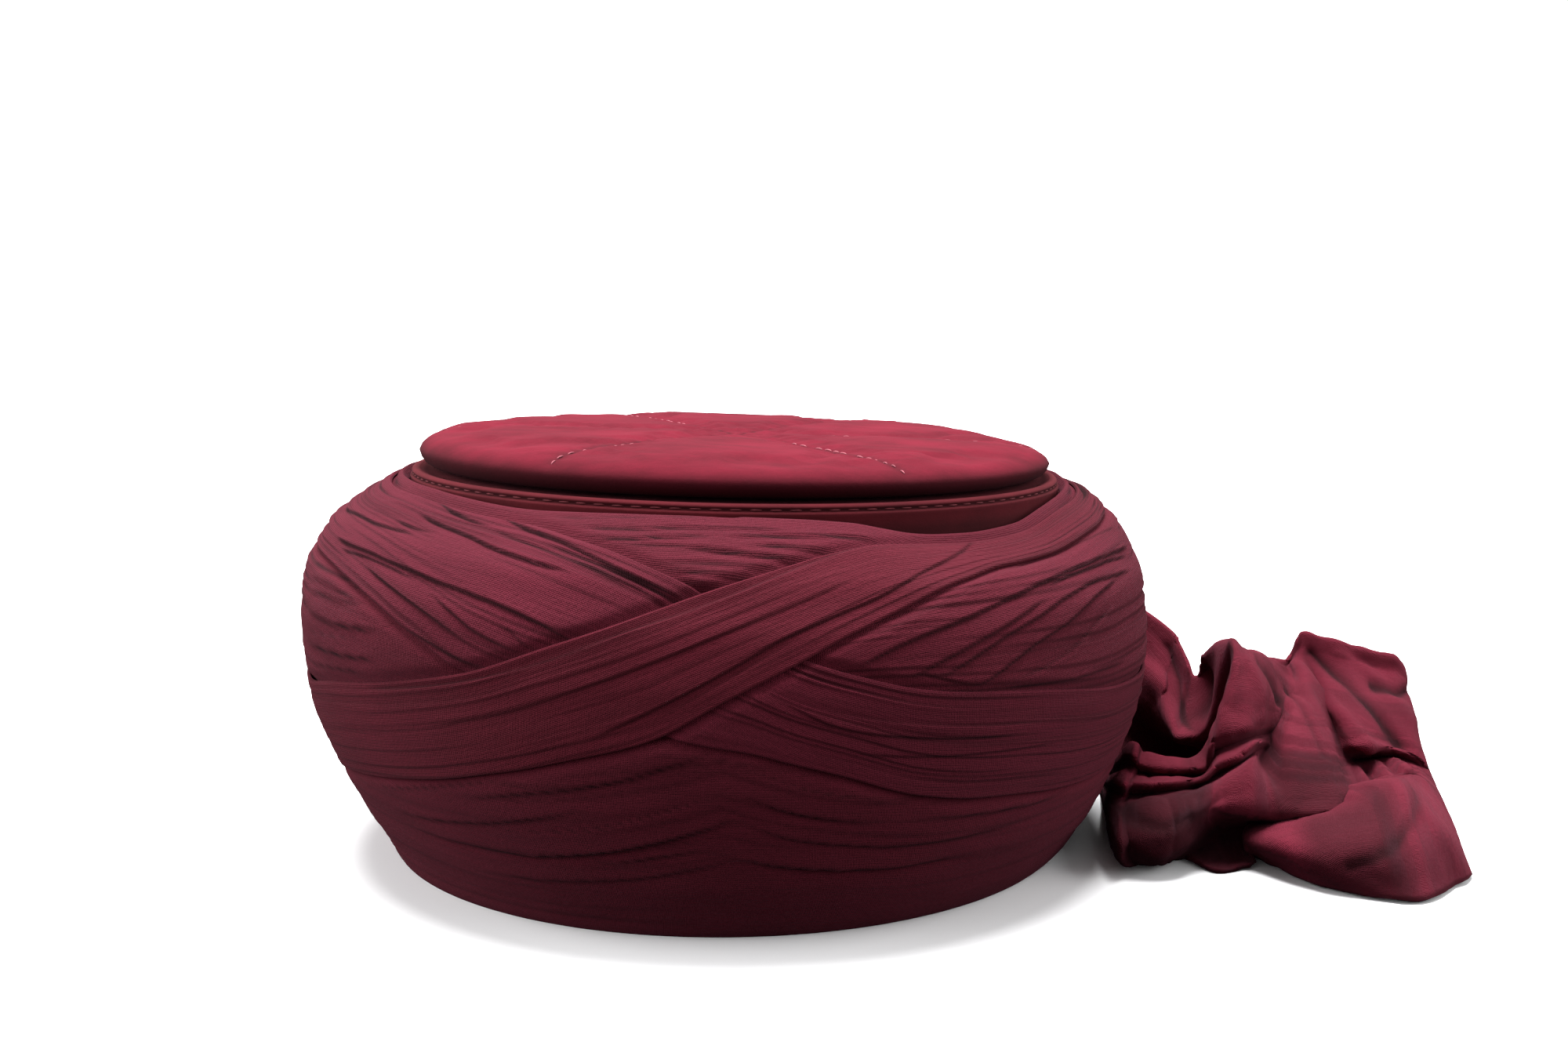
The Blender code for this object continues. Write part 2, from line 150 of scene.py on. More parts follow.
PAD_SHARES: Rows = (
    # radius (share of PAD_RADIUS), height (share of PAD_DEPTH)
    (0.010, 1.000),
    (0.140, 1.000),
    (0.330, 1.010),
    (0.520, 1.005),
    (0.700, 0.990),
    (0.830, 0.955),
    (0.900, 0.900),
    (0.950, 0.800),
    (0.985, 0.620),
    (1.000, 0.420),
    (0.990, 0.200),
    (0.968, 0.060),
    (0.940, 0.000),
    (0.500, 0.000),
    (0.010, 0.000),
)
PUFF_SHARES: Rows = (
    # azimuth, depth (share of PAD_DEPTH)
    (-180.0, 1.02),
    (-90.0, 1.12),
    (-45.0, 1.06),
    (0.0, 0.97),
    (60.0, 0.90),
    (90.0, 0.90),
    (135.0, 0.99),
)
RIGHT_HIGH_LEVELS: Rows = (
    # azimuth, upper edge, lower edge (shares of the rim height)
    (-150.0, 0.540, 0.450),
    (-120.0, 0.470, 0.360),
    (-90.0, 0.440, 0.330),
    (-54.0, 0.490, 0.400),
    (-33.0, 0.570, 0.470),
    (-17.0, 0.680, 0.540),
    (-5.0, 0.775, 0.600),
    (3.0, 0.820, 0.600),
    (11.0, 0.870, 0.565),
    (25.0, 0.930, 0.530),
    (41.0, 0.955, 0.485),
    (56.0, 0.960, 0.450),
    (90.0, 0.960, 0.410),
    (120.0, 0.920, 0.460),
    (150.0, 0.800, 0.520),
    (180.0, 0.660, 0.500),
)
LEFT_HIGH_LEVELS: Rows = (
    # azimuth, upper edge, lower edge (shares of the rim height)
    (-150.0, 0.930, 0.700),
    (-120.0, 0.978, 0.770),
    (-90.0, 0.985, 0.800),
    (-68.0, 0.985, 0.800),
    (-54.0, 0.984, 0.785),
    (-45.0, 0.982, 0.755),
    (-37.0, 0.980, 0.705),
    (-29.0, 0.975, 0.640),
    (-17.0, 0.943, 0.580),
    (-8.0, 0.898, 0.545),
    (-1.0, 0.850, 0.520),
    (4.0, 0.790, 0.505),
    (9.0, 0.730, 0.475),
    (15.0, 0.684, 0.440),
    (24.0, 0.637, 0.380),
    (40.0, 0.595, 0.325),
    (60.0, 0.532, 0.285),
    (90.0, 0.500, 0.260),
    (120.0, 0.530, 0.290),
    (150.0, 0.640, 0.390),
    (180.0, 0.800, 0.550),
)
SASH_LEVELS: Rows = (
    # azimuth, upper edge, lower edge (shares of the rim height)
    (-150.0, 0.600, 0.390),
    (-120.0, 0.510, 0.280),
    (-90.0, 0.475, 0.240),
    (-71.0, 0.478, 0.255),
    (-54.0, 0.535, 0.300),
    (-41.0, 0.582, 0.345),
    (-29.0, 0.640, 0.400),
    (-17.0, 0.731, 0.460),
    (-7.0, 0.812, 0.523),
    (1.0, 0.870, 0.612),
    (9.0, 0.915, 0.700),
    (15.0, 0.945, 0.765),
    (24.0, 0.974, 0.835),
    (31.0, 0.984, 0.885),
    (40.0, 0.985, 0.920),
    (60.0, 0.985, 0.925),
    (90.0, 0.985, 0.925),
    (120.0, 0.960, 0.890),
    (150.0, 0.870, 0.740),
    (180.0, 0.740, 0.550),
)

# Cloth as it lies in the dressed ring
CLOTH_GAP = 0.0003
CLOTH_EDGE = 0.0009
CLOTH_THICKNESS = 0.0016
CLOTH_RUN = 0.0032
CLOTH_LEAST = 0.00035

# Loose end
TAIL_AZIMUTH = 140.0
TAIL_CLOTH = 0.0013
TAIL_CAGE = (
    # column, then points of (x, y, z) in millimetres from the free upper edge,
    # through the strip or the hood, the hollow and the lips, to the front hem
    ("strip_top", ((137.3, 48, 47.8), (135.8, 45, 44), (133.8, 42, 38.3), (131.4, 36, 32.7),
               (126, 50, 19), (121, 46, 5), (116, 10, 2.5), (115.8, -6, 23.7),
               (113.1, -16, 23.8), (114.1, -12, 19), (107.8, -28, 19.3), (108.3, -24, 14.1),
               (104.7, -38, 13.7), (102.9, -46, 10), (104.3, -44, 3.62), (108, -36, 1),
               (109, -30, 1), (110, -24, 1), (111, -18, 1))),
    ("strip_fall", ((139.9, 42, 44.1), (138.1, 40, 39.5), (135.1, 36, 33.2), (132.5, 30, 27),
               (132, 48, 16), (127, 43, 5), (121, 4, 2.5), (118.5, -9, 21.9),
               (115.3, -20, 22.1), (116.4, -15, 17.9), (111.6, -31, 19.3), (112.1, -26, 14.2),
               (108, -43, 15.7), (106.1, -53, 11.4), (107.8, -50, 3.85), (113, -42, 1),
               (114, -35, 1), (115, -28, 1), (116, -21, 1))),
    ("strip_foot", ((141.6, 36, 39.6), (139.9, 33, 34.4), (136.9, 28, 28.3), (132.9, 20, 23),
               (137, 44, 13), (133, 38, 4.5), (127, 0, 2.5), (123.8, -13, 21.1),
               (120.5, -24, 21.8), (121.7, -19, 18.1), (117.7, -34, 20.1), (118.3, -29, 15.8),
               (113.7, -46, 17.9), (111.8, -56, 12.5), (113.3, -53, 4.42), (119, -43, 1),
               (120, -36, 1), (121, -29, 1), (122, -22, 1))),
    ("under_mouth", ((143.1, 32, 35.6), (141.3, 28, 30), (138.6, 22, 24.5), (134.5, 12, 20.6),
               (143, 40, 12), (140, 33, 4), (134, -4, 2.5), (129.2, -17, 21.7),
               (126.5, -27, 22.4), (128.2, -22, 18.7), (124, -36, 21.2), (124.6, -31, 17),
               (120.5, -46, 19.2), (118.2, -55, 14.4), (119.5, -52, 7.13), (120, -41, 1),
               (121, -34, 1), (122, -27, 1), (123, -20, 1))),
    # The last four rows of the inside, mouth and hood columns lay the cloth flat on the floor
    # under the hood, a dark sheet that stands for the shadow there.
    ("inside", ((147.3, 26, 40.5), (146.6, 18, 37.8), (144.8, 12, 33.1), (141.6, 4, 27.3),
               (153, 14, 16), (149, 4, 7), (142, -8, 4), (134.1, -18, 24.3), (132.5, -29, 23.9),
               (133.2, -25, 20.3), (129.8, -36, 22.3), (130.2, -32, 18.9), (126.9, -44, 20.4),
               (125.1, -50, 17.2), (125.9, -46, 10.4), (127, -38, 2.4), (127.5, -42, 1.6),
               (128, -46, 1.2), (128.5, -49, 1))),
    ("mouth", ((143.9, 26, 41.4), (143.3, 18, 46.3), (143.8, 10, 50.4), (144, 0, 52.7),
               (143.5, -9, 52.6), (142.1, -16, 49.5), (139.1, -22, 44), (136.1, -27, 38.5),
               (133.6, -31, 31.6), (134.5, -27, 26.7), (134.2, -36, 26.3), (135.6, -31, 22),
               (132.9, -42, 22.4), (130.9, -46, 18.8), (130, -46, 15.3), (137, -30, 6),
               (137.5, -37, 3), (138, -43, 1.5), (138.5, -48, 1))),
    ("hood", ((161.1, 30, 39.6), (156.4, 22, 44.3), (152.2, 13, 48.6), (149.5, 3, 51.1),
               (147.7, -7, 52.2), (146.5, -16, 50.4), (144.4, -23, 45.4), (141.5, -28, 39.8),
               (138.9, -32, 34.1), (139.6, -28, 29.7), (139.3, -37, 29), (140.7, -32, 25.2),
               (137.9, -42, 25.5), (136.4, -46, 21), (135.7, -46, 15.1), (143, -31, 8),
               (142.5, -37, 5), (142, -42, 2.4), (141.5, -46, 1))),
    ("hood_side", ((167.2, 30, 40.1), (163.2, 22, 43.3), (159.1, 13, 46.2), (156.3, 3, 48.3),
               (154, -6, 48.5), (152.1, -14, 46.3), (150.4, -20, 42.5), (148.1, -25, 38.4),
               (145.4, -29, 34.5), (146.1, -25, 31), (145.2, -33, 31.9), (146.5, -28, 27.9),
               (143.2, -38, 27.9), (142.1, -44, 23), (141.9, -46, 14.6), (147, -30, 9),
               (140.2, -42, 8.29), (140.3, -45, 5.72), (144.1, -38, 0.9))),
    ("valley", ((170.3, 28, 41), (168.4, 24, 40.9), (166.8, 20, 40.3), (164.9, 14, 40.1),
               (163.4, 8, 38.6), (161.8, 2, 37.1), (159.9, -4, 35.2), (157.9, -9, 33.1),
               (155.9, -13, 31.1), (154.2, -16, 29.3), (152.8, -19, 27.3), (150.6, -23, 25.7),
               (147.1, -31, 24.7), (146.3, -43, 21.6), (147.4, -46, 14.2), (152, -34, 10),
               (145.1, -47, 11.2), (144.1, -54, 7.79), (148.1, -47, 0.9))),
    ("panel", ((172.3, 30, 43.1), (171.2, 26, 41.4), (170, 20, 39.8), (168.2, 12, 38.2),
               (166.5, 2, 36.6), (163.1, -8, 36.2), (160.4, -15, 34.8), (158.6, -20, 32.9),
               (156.7, -25, 31), (155.2, -29, 28.6), (153.7, -33, 26.6), (152.4, -37, 24.6),
               (151.8, -40, 22.1), (151.7, -44, 18.6), (152.5, -46, 14.4), (155, -35, 11),
               (151.7, -49, 13.6), (150.4, -61, 8.81), (153, -59, 0.9))),
    ("panel_side", ((174.3, 30, 47.6), (173.5, 27, 44.7), (172.9, 22, 41.8), (172, 14, 39.2),
               (170.7, 3, 36.4), (169, -6, 35.2), (167.9, -12, 33.4), (167.3, -17, 31.4),
               (166.9, -21, 29.2), (166.4, -25, 27.1), (166.2, -28, 24.7), (166.3, -31, 22.4),
               (166.3, -34, 20.1), (166.4, -38, 17.7), (163.7, -43, 14.8), (165, -33, 13),
               (161.7, -49, 15.5), (158.2, -66, 10.5), (160.4, -67, 0.9))),
    # This column follows a fold of the heap.
    ("painted_shade", ((175.9, 30, 49.6), (175.7, 27, 46.2), (176.1, 24, 41.9), (176.7, 19, 37.5),
               (177.1, 12, 33.8), (176.8, 6, 31.4), (176.5, 1, 28.8), (176.5, -3, 26),
               (176.3, -7, 23.2), (175.8, -11, 21), (175.2, -15, 19.3), (174.6, -20, 18),
               (173.9, -25, 16.6), (173, -30, 15.8), (171.3, -34, 14.8), (170, -28, 15),
               (170.7, -46, 17.9), (167, -68, 12.2), (168.9, -72, 0.9))),
    ("strand", ((182.2, 28, 48), (181.4, 25, 44.4), (181.1, 21, 40.8), (180.4, 14, 37.7),
               (179.7, 6, 34.7), (179.2, -1, 32.1), (179.3, -6, 29.1), (179.7, -10, 26.6),
               (181, -12, 23.9), (186.6, 2, 17.5), (182.6, -10, 18.4), (181.2, -17, 17.6),
               (180.5, -22, 16.7), (180, -26, 16), (179.5, -29, 15.8), (176, -24, 17),
               (179.8, -40, 20.8), (176.7, -64, 14), (177.8, -74, 0.9))),
    ("pleats", ((193.9, 26, 44.9), (193.3, 23, 41.1), (192.3, 18, 37.8), (191.2, 11, 34.8),
               (190.4, 4, 32.1), (190.5, -1, 29.3), (191.2, -4, 26.5), (191.9, -6, 24.4),
               (192.5, -8, 22.8), (195.1, -3, 19.3), (193.4, -9, 19.5), (192.9, -13, 19.5),
               (193, -16, 19.4), (193, -19, 19.3), (193.2, -21, 19.2), (193.8, -22, 18.5),
               (192.3, -29, 18.7), (189.1, -54, 13.8), (190.5, -62, 0.9))),
    ("side", ((205.1, 24, 40.4), (204.8, 20, 36.8), (204.1, 15, 33.1), (203.1, 9, 30.1),
               (201.9, 3, 28.3), (201.2, -2, 25.7), (200.7, -6, 23.4), (200.7, -9, 21.2),
               (200.9, -11, 18.9), (201.3, -12, 17.3), (201.3, -14, 16.2), (201.3, -16, 15.2),
               (200.9, -19, 14.4), (200.7, -22, 13.5), (200.5, -25, 12.5), (200.2, -29, 11),
               (199.7, -34, 9.35), (198.2, -45, 5.72), (197.7, -54, 0.9))),
)


# Folds drawn on the loose end: points (x, z) in millimetres as seen from the
# front, height and width in millimetres, and the rows between which they stand.
TAIL_RIBS = (
    (((167.9, 45.3), (173.1, 39.1), (179.1, 31.1), (184.6, 21.9), (190.2, 18.5)), 1.5, 2, 3, 10.7),
    (((177.5, 45), (184.9, 37.8), (191.1, 29.4), (194.5, 22.2)), -1.3, 1.6, 2.6, 10),
    (((185.7, 45.4), (194.7, 38.2), (200.6, 29.4)), 1.2, 2.2, 2.4, 8),
    (((193.3, 36.3), (199.4, 35), (204.7, 34.6)), -1.6, 1.3, 2.4, 6),
    (((150.9, 49.7), (155.3, 42.7), (158.3, 36.2)), -1.1, 1.2, 4, 10),
    (((145.5, 51.1), (148.9, 43.6), (148.7, 35.1)), 0.8, 1.6, 5, 10),
    (((164, 38.5), (164.7, 31.2), (166, 23.1)), -0.7, 1.2, 6, 12),
    (((157.1, 34.7), (154.2, 24.6), (150.2, 13.3)), 0.7, 2.6, 8, 16),
    (((160.4, 8.2), (169.1, 11.6), (177.7, 15.6), (186.0, 19.0)), -0.9, 1.1, 17.6, 21),
    (((158.3, 10.8), (168.6, 14.7), (178.7, 21.6)), 1, 3, 17.6, 20.4),
    (((182.3, 20.4), (189.4, 11.3), (193.7, 1.88)), 1.1, 2.6, 17.6, 21),
    (((146, 11.7), (156.6, 5.27), (171.3, 0.98)), 0.9, 3, 18.2, 21),
    (((105.3, 9.74), (114.4, 7.13), (121.5, 9.74)), 0.8, 1.8, 14.2, 17),
    (((136.9, 42.9), (138.7, 34.1), (137.5, 24.5)), -0.9, 1.3, 1.5, 5.4),
    (((106.6, 15), (115.1, 13.9), (122.4, 16.1)), -0.9, 1.4, 13.4, 16.4),
)
# Parts of the loose end that face down or lie deep: first and last column,
# first and last row, share of the shade.
TAIL_SHADES = (
    (9.4, 13.4, 11.0, 16.6, 0.90),
    (10.6, 14.4, 17.2, 20.8, 0.85),
    (1.0, 7.0, 12.6, 19.0, 1.00),
    # This patch paints near-black shade on the cloth laid on the floor under the hood, standing
    # for the shadow there.
    (5.4, 9.2, 16.4, 21.0, 0.95),
    (12.6, 13.6, 4.0, 15.0, 0.45),
)
PLEAT_COLUMNS = (13.4, 15.6)
PLEAT_ROWS = (11.6, 16.4)


def ease(share: Array) -> Array:
    """Smooth step from 0 to 1.

    Args:
        share: place between the two ends, clipped to 0 and 1.

    Returns:
        The eased share.
    """
    share = np.clip(share, 0.0, 1.0)
    return share * share * (3.0 - 2.0 * share)


def smooth(knots: Array, values: Array, at: Array) -> Array:
    """Smooth curve through the knots that never overshoots them.

    Args:
        knots: rising places of the knots.
        values: value at each knot.
        at: places to read, clipped to the knots.

    Returns:
        The curve's values.
    """
    knots = np.asarray(knots, float)
    values = np.asarray(values, float)
    at = np.clip(np.asarray(at, float), knots[0], knots[-1])
    run = np.diff(knots)
    slope = np.diff(values) / run
    before, after = slope[:-1], slope[1:]
    same = before * after > 0.0
    total = np.where(same, before + after, 1.0)
    tangent = np.empty_like(values)
    tangent[1:-1] = np.where(same, 2.0 * before * after / total, 0.0)
    tangent[0] = slope[0]
    tangent[-1] = slope[-1]
    cell = np.clip(np.searchsorted(knots, at, side="right") - 1, 0, len(run) - 1)
    u = (at - knots[cell]) / run[cell]
    rise = u * u * (3.0 - 2.0 * u)
    start = u * (1.0 - u) ** 2 * run[cell] * tangent[cell]
    end = u * u * (u - 1.0) * run[cell] * tangent[cell + 1]
    return values[cell] * (1.0 - rise) + values[cell + 1] * rise + start + end


def around(rows: Rows, column: int, azimuth: Array) -> Array:
    """Read one column of a table of azimuths as a smooth closed curve.

    Args:
        rows: table whose first column is the azimuth in degrees.
        column: column to read.
        azimuth: azimuths to read it at.

    Returns:
        The column's values.
    """
    turns = sorted((row[0] + shift, row[column])
                   for shift in (-360.0, 0.0, 360.0) for row in rows)
    return smooth([turn[0] for turn in turns], [turn[1] for turn in turns], azimuth)


def noise(u: Array, v: Array, seed: int, cells: int = 64) -> Array:
    """Smooth noise between -1 and 1, the same each run.

    Args:
        u: place along, in cells; the noise repeats after so many cells.
        v: place across, in cells.
        seed: names the pattern.
        cells: cells along before it repeats.

    Returns:
        The noise at each place.
    """
    table = np.random.default_rng(seed).uniform(-1.0, 1.0, (cells, 97))
    u, v = np.broadcast_arrays(u, v)
    left, low = np.floor(u).astype(int), np.floor(v).astype(int)
    across, up = ease(u - left), ease(v - low)
    left, right = left % cells, (left + 1) % cells
    low, high = low % 97, (low + 1) % 97
    near = table[left, low] * (1.0 - across) + table[right, low] * across
    far = table[left, high] * (1.0 - across) + table[right, high] * across
    return near * (1.0 - up) + far * up


def wall_radius(height: Array) -> Array:
    """Outer radius of the cap's wall at a height below its rolled edge."""
    rows = CAP_SHARES[:7:-1]
    return CAP_RADIUS * smooth([row[1] for row in rows], [row[0] for row in rows],
                               np.asarray(height) / CAP_HEIGHT)


def crown_drop(x: Array) -> Array:
    """Fall of the crown towards the right at a distance from the axis."""
    return CROWN_FALL * x / (2.0 * PAD_RADIUS)


class Held(Enum):
    """How a sheet of cloth is held."""

    GATHERED = "gathered"
    LAID = "laid"


class Lap(Enum):
    """Which side of a fold line lies over the other."""

    UPPER = 1.0
    LOWER = -1.0
    NEITHER = 0.0


@dataclass(frozen=True)
class CottonFinish:
    """Thin wound cotton: slub streaks, fine weave, painted shade in creases and hollows, soft
    sheen.
    """

    name: str
    colour: Colour
    dark: Colour
    tint: Colour = (1.0, 0.42, 0.60)
    sheen: float = 0.045
    roughness: float = 0.90
    weave: float = 0.42 * MM

    def make(self) -> bpy.types.Material:
        """Build the node material.

        Returns:
            The new material.
        """
        kit = NodeKit(self.name)
        kit.set("Roughness", self.roughness)
        kit.set("Sheen Weight", self.sheen)
        kit.set("Sheen Roughness", 0.28)
        kit.set("Sheen Tint", (*self.tint, 1.0))
        kit.set("Specular IOR Level", 0.12)
        place = kit.node("ShaderNodeTexCoord").outputs["Object"]
        cloth = kit.node("ShaderNodeUVMap", uv_map="cloth").outputs["UV"]
        mottle = kit.noise(place, 26.0, 4.0, 0.55)
        fibre = kit.noise(kit.scaled(cloth, (55.0, 1300.0, 1.0)), 1.0, 3.0, 0.6)
        slub = kit.noise(kit.scaled(cloth, (14.0, 260.0, 1.0)), 1.0, 3.0, 0.55)
        turns = 2.0 * math.pi / (20.0 * self.weave)
        warp = kit.wave(cloth, turns, "X")
        weft = kit.wave(cloth, turns, "Y")
        crepe = kit.noise(place, 950.0, 3.0, 0.65)
        painted_shade = kit.node("ShaderNodeAttribute", attribute_name="painted_shade").outputs["Fac"]
        tone = kit.ramp(mottle, ((0.30, self.dark), (0.62, self.colour)))
        tone = kit.mix(kit.maths("MULTIPLY", slub, 0.75), tone,
                       tuple(1.45 * part for part in self.colour))
        tone = kit.mix(kit.maths("MULTIPLY", fibre, 0.40), tone,
                       tuple(0.60 * part for part in self.dark))
        tone = kit.mix(kit.maths("MULTIPLY", crepe, 0.45), tone,
                       tuple(0.45 * part for part in self.dark))
        # Painted shade: the per-vertex shade darkens the tone in creases, hollows and undersides.
        tone = kit.mix(kit.maths("MULTIPLY", painted_shade, 0.88), tone,
                       tuple(0.14 * part for part in self.dark))
        kit.join(tone, "Base Color")
        lift = kit.maths("MULTIPLY", kit.maths("ADD", warp, weft), 0.22)
        lift = kit.maths("ADD", lift, kit.maths("MULTIPLY", fibre, 0.55))
        lift = kit.maths("ADD", lift, kit.maths("MULTIPLY", crepe, 0.90))
        lift = kit.maths("ADD", lift, kit.maths("MULTIPLY", slub, 0.60))
        kit.bump(lift, 0.80, 0.50 * MM)
        return kit.material


@dataclass(frozen=True)
class SuedeFinish:
    """Brushed suede: nap patches, velvet sheen, a fine grain and painted shade from a vertex
    attribute.
    """

    name: str
    colour: Colour
    shade: Colour
    tint: Colour = (1.0, 0.30, 0.45)
    sheen: float = 0.014

    def make(self) -> bpy.types.Material:
        """Build the node material.

        Returns:
            The new material.
        """
        kit = NodeKit(self.name)
        kit.set("Roughness", 0.92)
        kit.set("Sheen Weight", self.sheen)
        kit.set("Sheen Roughness", 0.35)
        kit.set("Sheen Tint", (*self.tint, 1.0))
        kit.set("Specular IOR Level", 0.12)
        place = kit.node("ShaderNodeTexCoord").outputs["Object"]
        patches = kit.noise(kit.scaled(place, (38.0, 62.0, 90.0)), 1.0, 5.0, 0.65)
        strokes = kit.noise(kit.scaled(place, (90.0, 420.0, 300.0)), 1.0, 3.0, 0.6)
        grain = kit.noise(place, 1300.0, 3.0, 0.7)
        painted_shade = kit.node("ShaderNodeAttribute", attribute_name="painted_shade").outputs["Fac"]
        tone = kit.ramp(patches, ((0.36, self.shade), (0.62, self.colour)))
        tone = kit.mix(kit.maths("MULTIPLY", strokes, 0.30), tone,
                       tuple(1.35 * part for part in self.colour))
        tone = kit.mix(kit.maths("MULTIPLY", grain, 0.25), tone,
                       tuple(0.6 * part for part in self.shade))
        # Painted shade: the per-vertex shade darkens the suede under the pad's edge, in the seams
        # and on the wall.
        tone = kit.mix(kit.maths("MULTIPLY", painted_shade, 0.90), tone,
                       tuple(0.20 * part for part in self.shade))
        kit.join(tone, "Base Color")
        lift = kit.maths("ADD", kit.maths("MULTIPLY", grain, 0.6),
                         kit.maths("MULTIPLY", strokes, 0.7))
        lift = kit.maths("ADD", lift, kit.maths("MULTIPLY", patches, 0.5))
        kit.bump(lift, 0.40, 0.30 * MM)
        return kit.material


@dataclass(frozen=True)
class ThreadFinish:
    """Twisted sewing thread."""

    name: str
    colour: Colour

    def make(self) -> bpy.types.Material:
        """Build the node material.

        Returns:
            The new material.
        """
        kit = NodeKit(self.name)
        kit.set("Roughness", 0.80)
        kit.set("Sheen Weight", 0.03)
        kit.set("Specular IOR Level", 0.15)
        place = kit.node("ShaderNodeTexCoord").outputs["Object"]
        fuzz = kit.noise(place, 900.0, 2.0, 0.6)
        tone = kit.ramp(fuzz, ((0.3, tuple(0.6 * part for part in self.colour)),
                               (0.7, self.colour)))
        kit.join(tone, "Base Color")
        kit.bump(kit.wave(place, 900.0, "X"), 0.3, 0.05 * MM)
        return kit.material


class NodeKit:
    """Short hand for building one node material."""

    def __init__(self, name: str) -> None:
        """Start a material whose surface is a Principled shader."""
        self.material = bpy.data.materials.new(name)
        self.material.use_nodes = True
        self.tree = self.material.node_tree
        self.shader = self.tree.nodes["Principled BSDF"]

    def set(self, socket: str, value: float | tuple[float, ...]) -> None:
        """Set a constant on the shader's own socket."""
        self.shader.inputs[socket].default_value = value

    def join(self, output: bpy.types.NodeSocket, socket: str) -> None:
        """Join an output to one of the shader's sockets."""
        self.tree.links.new(output, self.shader.inputs[socket])

    def node(self, kind: str, **fields: str | float) -> bpy.types.Node:
        """Add a node.

        Args:
            kind: the node's type.
            fields: the node's own settings.

        Returns:
            The new node.
        """
        node = self.tree.nodes.new(kind)
        for key, value in fields.items():
            setattr(node, key, value)
        return node

    def maths(self, operation: str, first: bpy.types.NodeSocket,
              second: bpy.types.NodeSocket | float) -> bpy.types.NodeSocket:
        """Combine two values.

        Args:
            operation: the sum to do.
            first: the first value.
            second: the second value, joined or fixed.

        Returns:
            The result's socket.
        """
        node = self.node("ShaderNodeMath", operation=operation)
        self.tree.links.new(first, node.inputs[0])
        if isinstance(second, float):
            node.inputs[1].default_value = second
        else:
            self.tree.links.new(second, node.inputs[1])
        return node.outputs[0]

    def scaled(self, place: bpy.types.NodeSocket,
               scale: tuple[float, float, float]) -> bpy.types.NodeSocket:
        """Stretch coordinates by a scale for each axis."""
        node = self.node("ShaderNodeVectorMath", operation="MULTIPLY")
        self.tree.links.new(place, node.inputs[0])
        node.inputs[1].default_value = scale
        return node.outputs[0]

    def noise(self, place: bpy.types.NodeSocket, scale: float, detail: float,
              rough: float) -> bpy.types.NodeSocket:
        """Add a noise texture.

        Args:
            place: coordinates.
            scale: cells for each unit.
            detail: how many octaves.
            rough: how strong the small octaves are.

        Returns:
            The noise's value.
        """
        node = self.node("ShaderNodeTexNoise")
        self.tree.links.new(place, node.inputs["Vector"])
        node.inputs["Scale"].default_value = scale
        node.inputs["Detail"].default_value = detail
        node.inputs["Roughness"].default_value = rough
        return node.outputs["Fac"]

    def wave(self, place: bpy.types.NodeSocket, scale: float,
             axis: str) -> bpy.types.NodeSocket:
        """Add threads that run across one axis."""
        node = self.node("ShaderNodeTexWave", bands_direction=axis)
        self.tree.links.new(place, node.inputs["Vector"])
        node.inputs["Scale"].default_value = scale
        node.inputs["Distortion"].default_value = 1.2
        node.inputs["Detail"].default_value = 1.0
        return node.outputs["Fac"]

    def ramp(self, value: bpy.types.NodeSocket,
             stops: tuple[tuple[float, Colour], ...]) -> bpy.types.NodeSocket:
        """Turn a value into a colour.

        Args:
            value: the value's socket.
            stops: place and colour of each stop.

        Returns:
            The colour's socket.
        """
        node = self.node("ShaderNodeValToRGB")
        self.tree.links.new(value, node.inputs[0])
        for element, (place, colour) in zip(node.color_ramp.elements, stops):
            element.position = place
            element.color = (*colour, 1.0)
        return node.outputs["Color"]

    def mix(self, share: bpy.types.NodeSocket, under: bpy.types.NodeSocket,
            over: Colour) -> bpy.types.NodeSocket:
        """Lay a fixed colour over a tone by a share."""
        node = self.node("ShaderNodeMix", data_type="RGBA")
        self.tree.links.new(share, node.inputs["Factor"])
        self.tree.links.new(under, node.inputs[6])
        node.inputs[7].default_value = (*over, 1.0)
        return node.outputs[2]

    def bump(self, height: bpy.types.NodeSocket, strength: float, depth: float) -> None:
        """Bump the shader by a height."""
        node = self.node("ShaderNodeBump")
        node.inputs["Strength"].default_value = strength
        node.inputs["Distance"].default_value = depth
        self.tree.links.new(height, node.inputs["Height"])
        self.join(node.outputs["Normal"], "Normal")


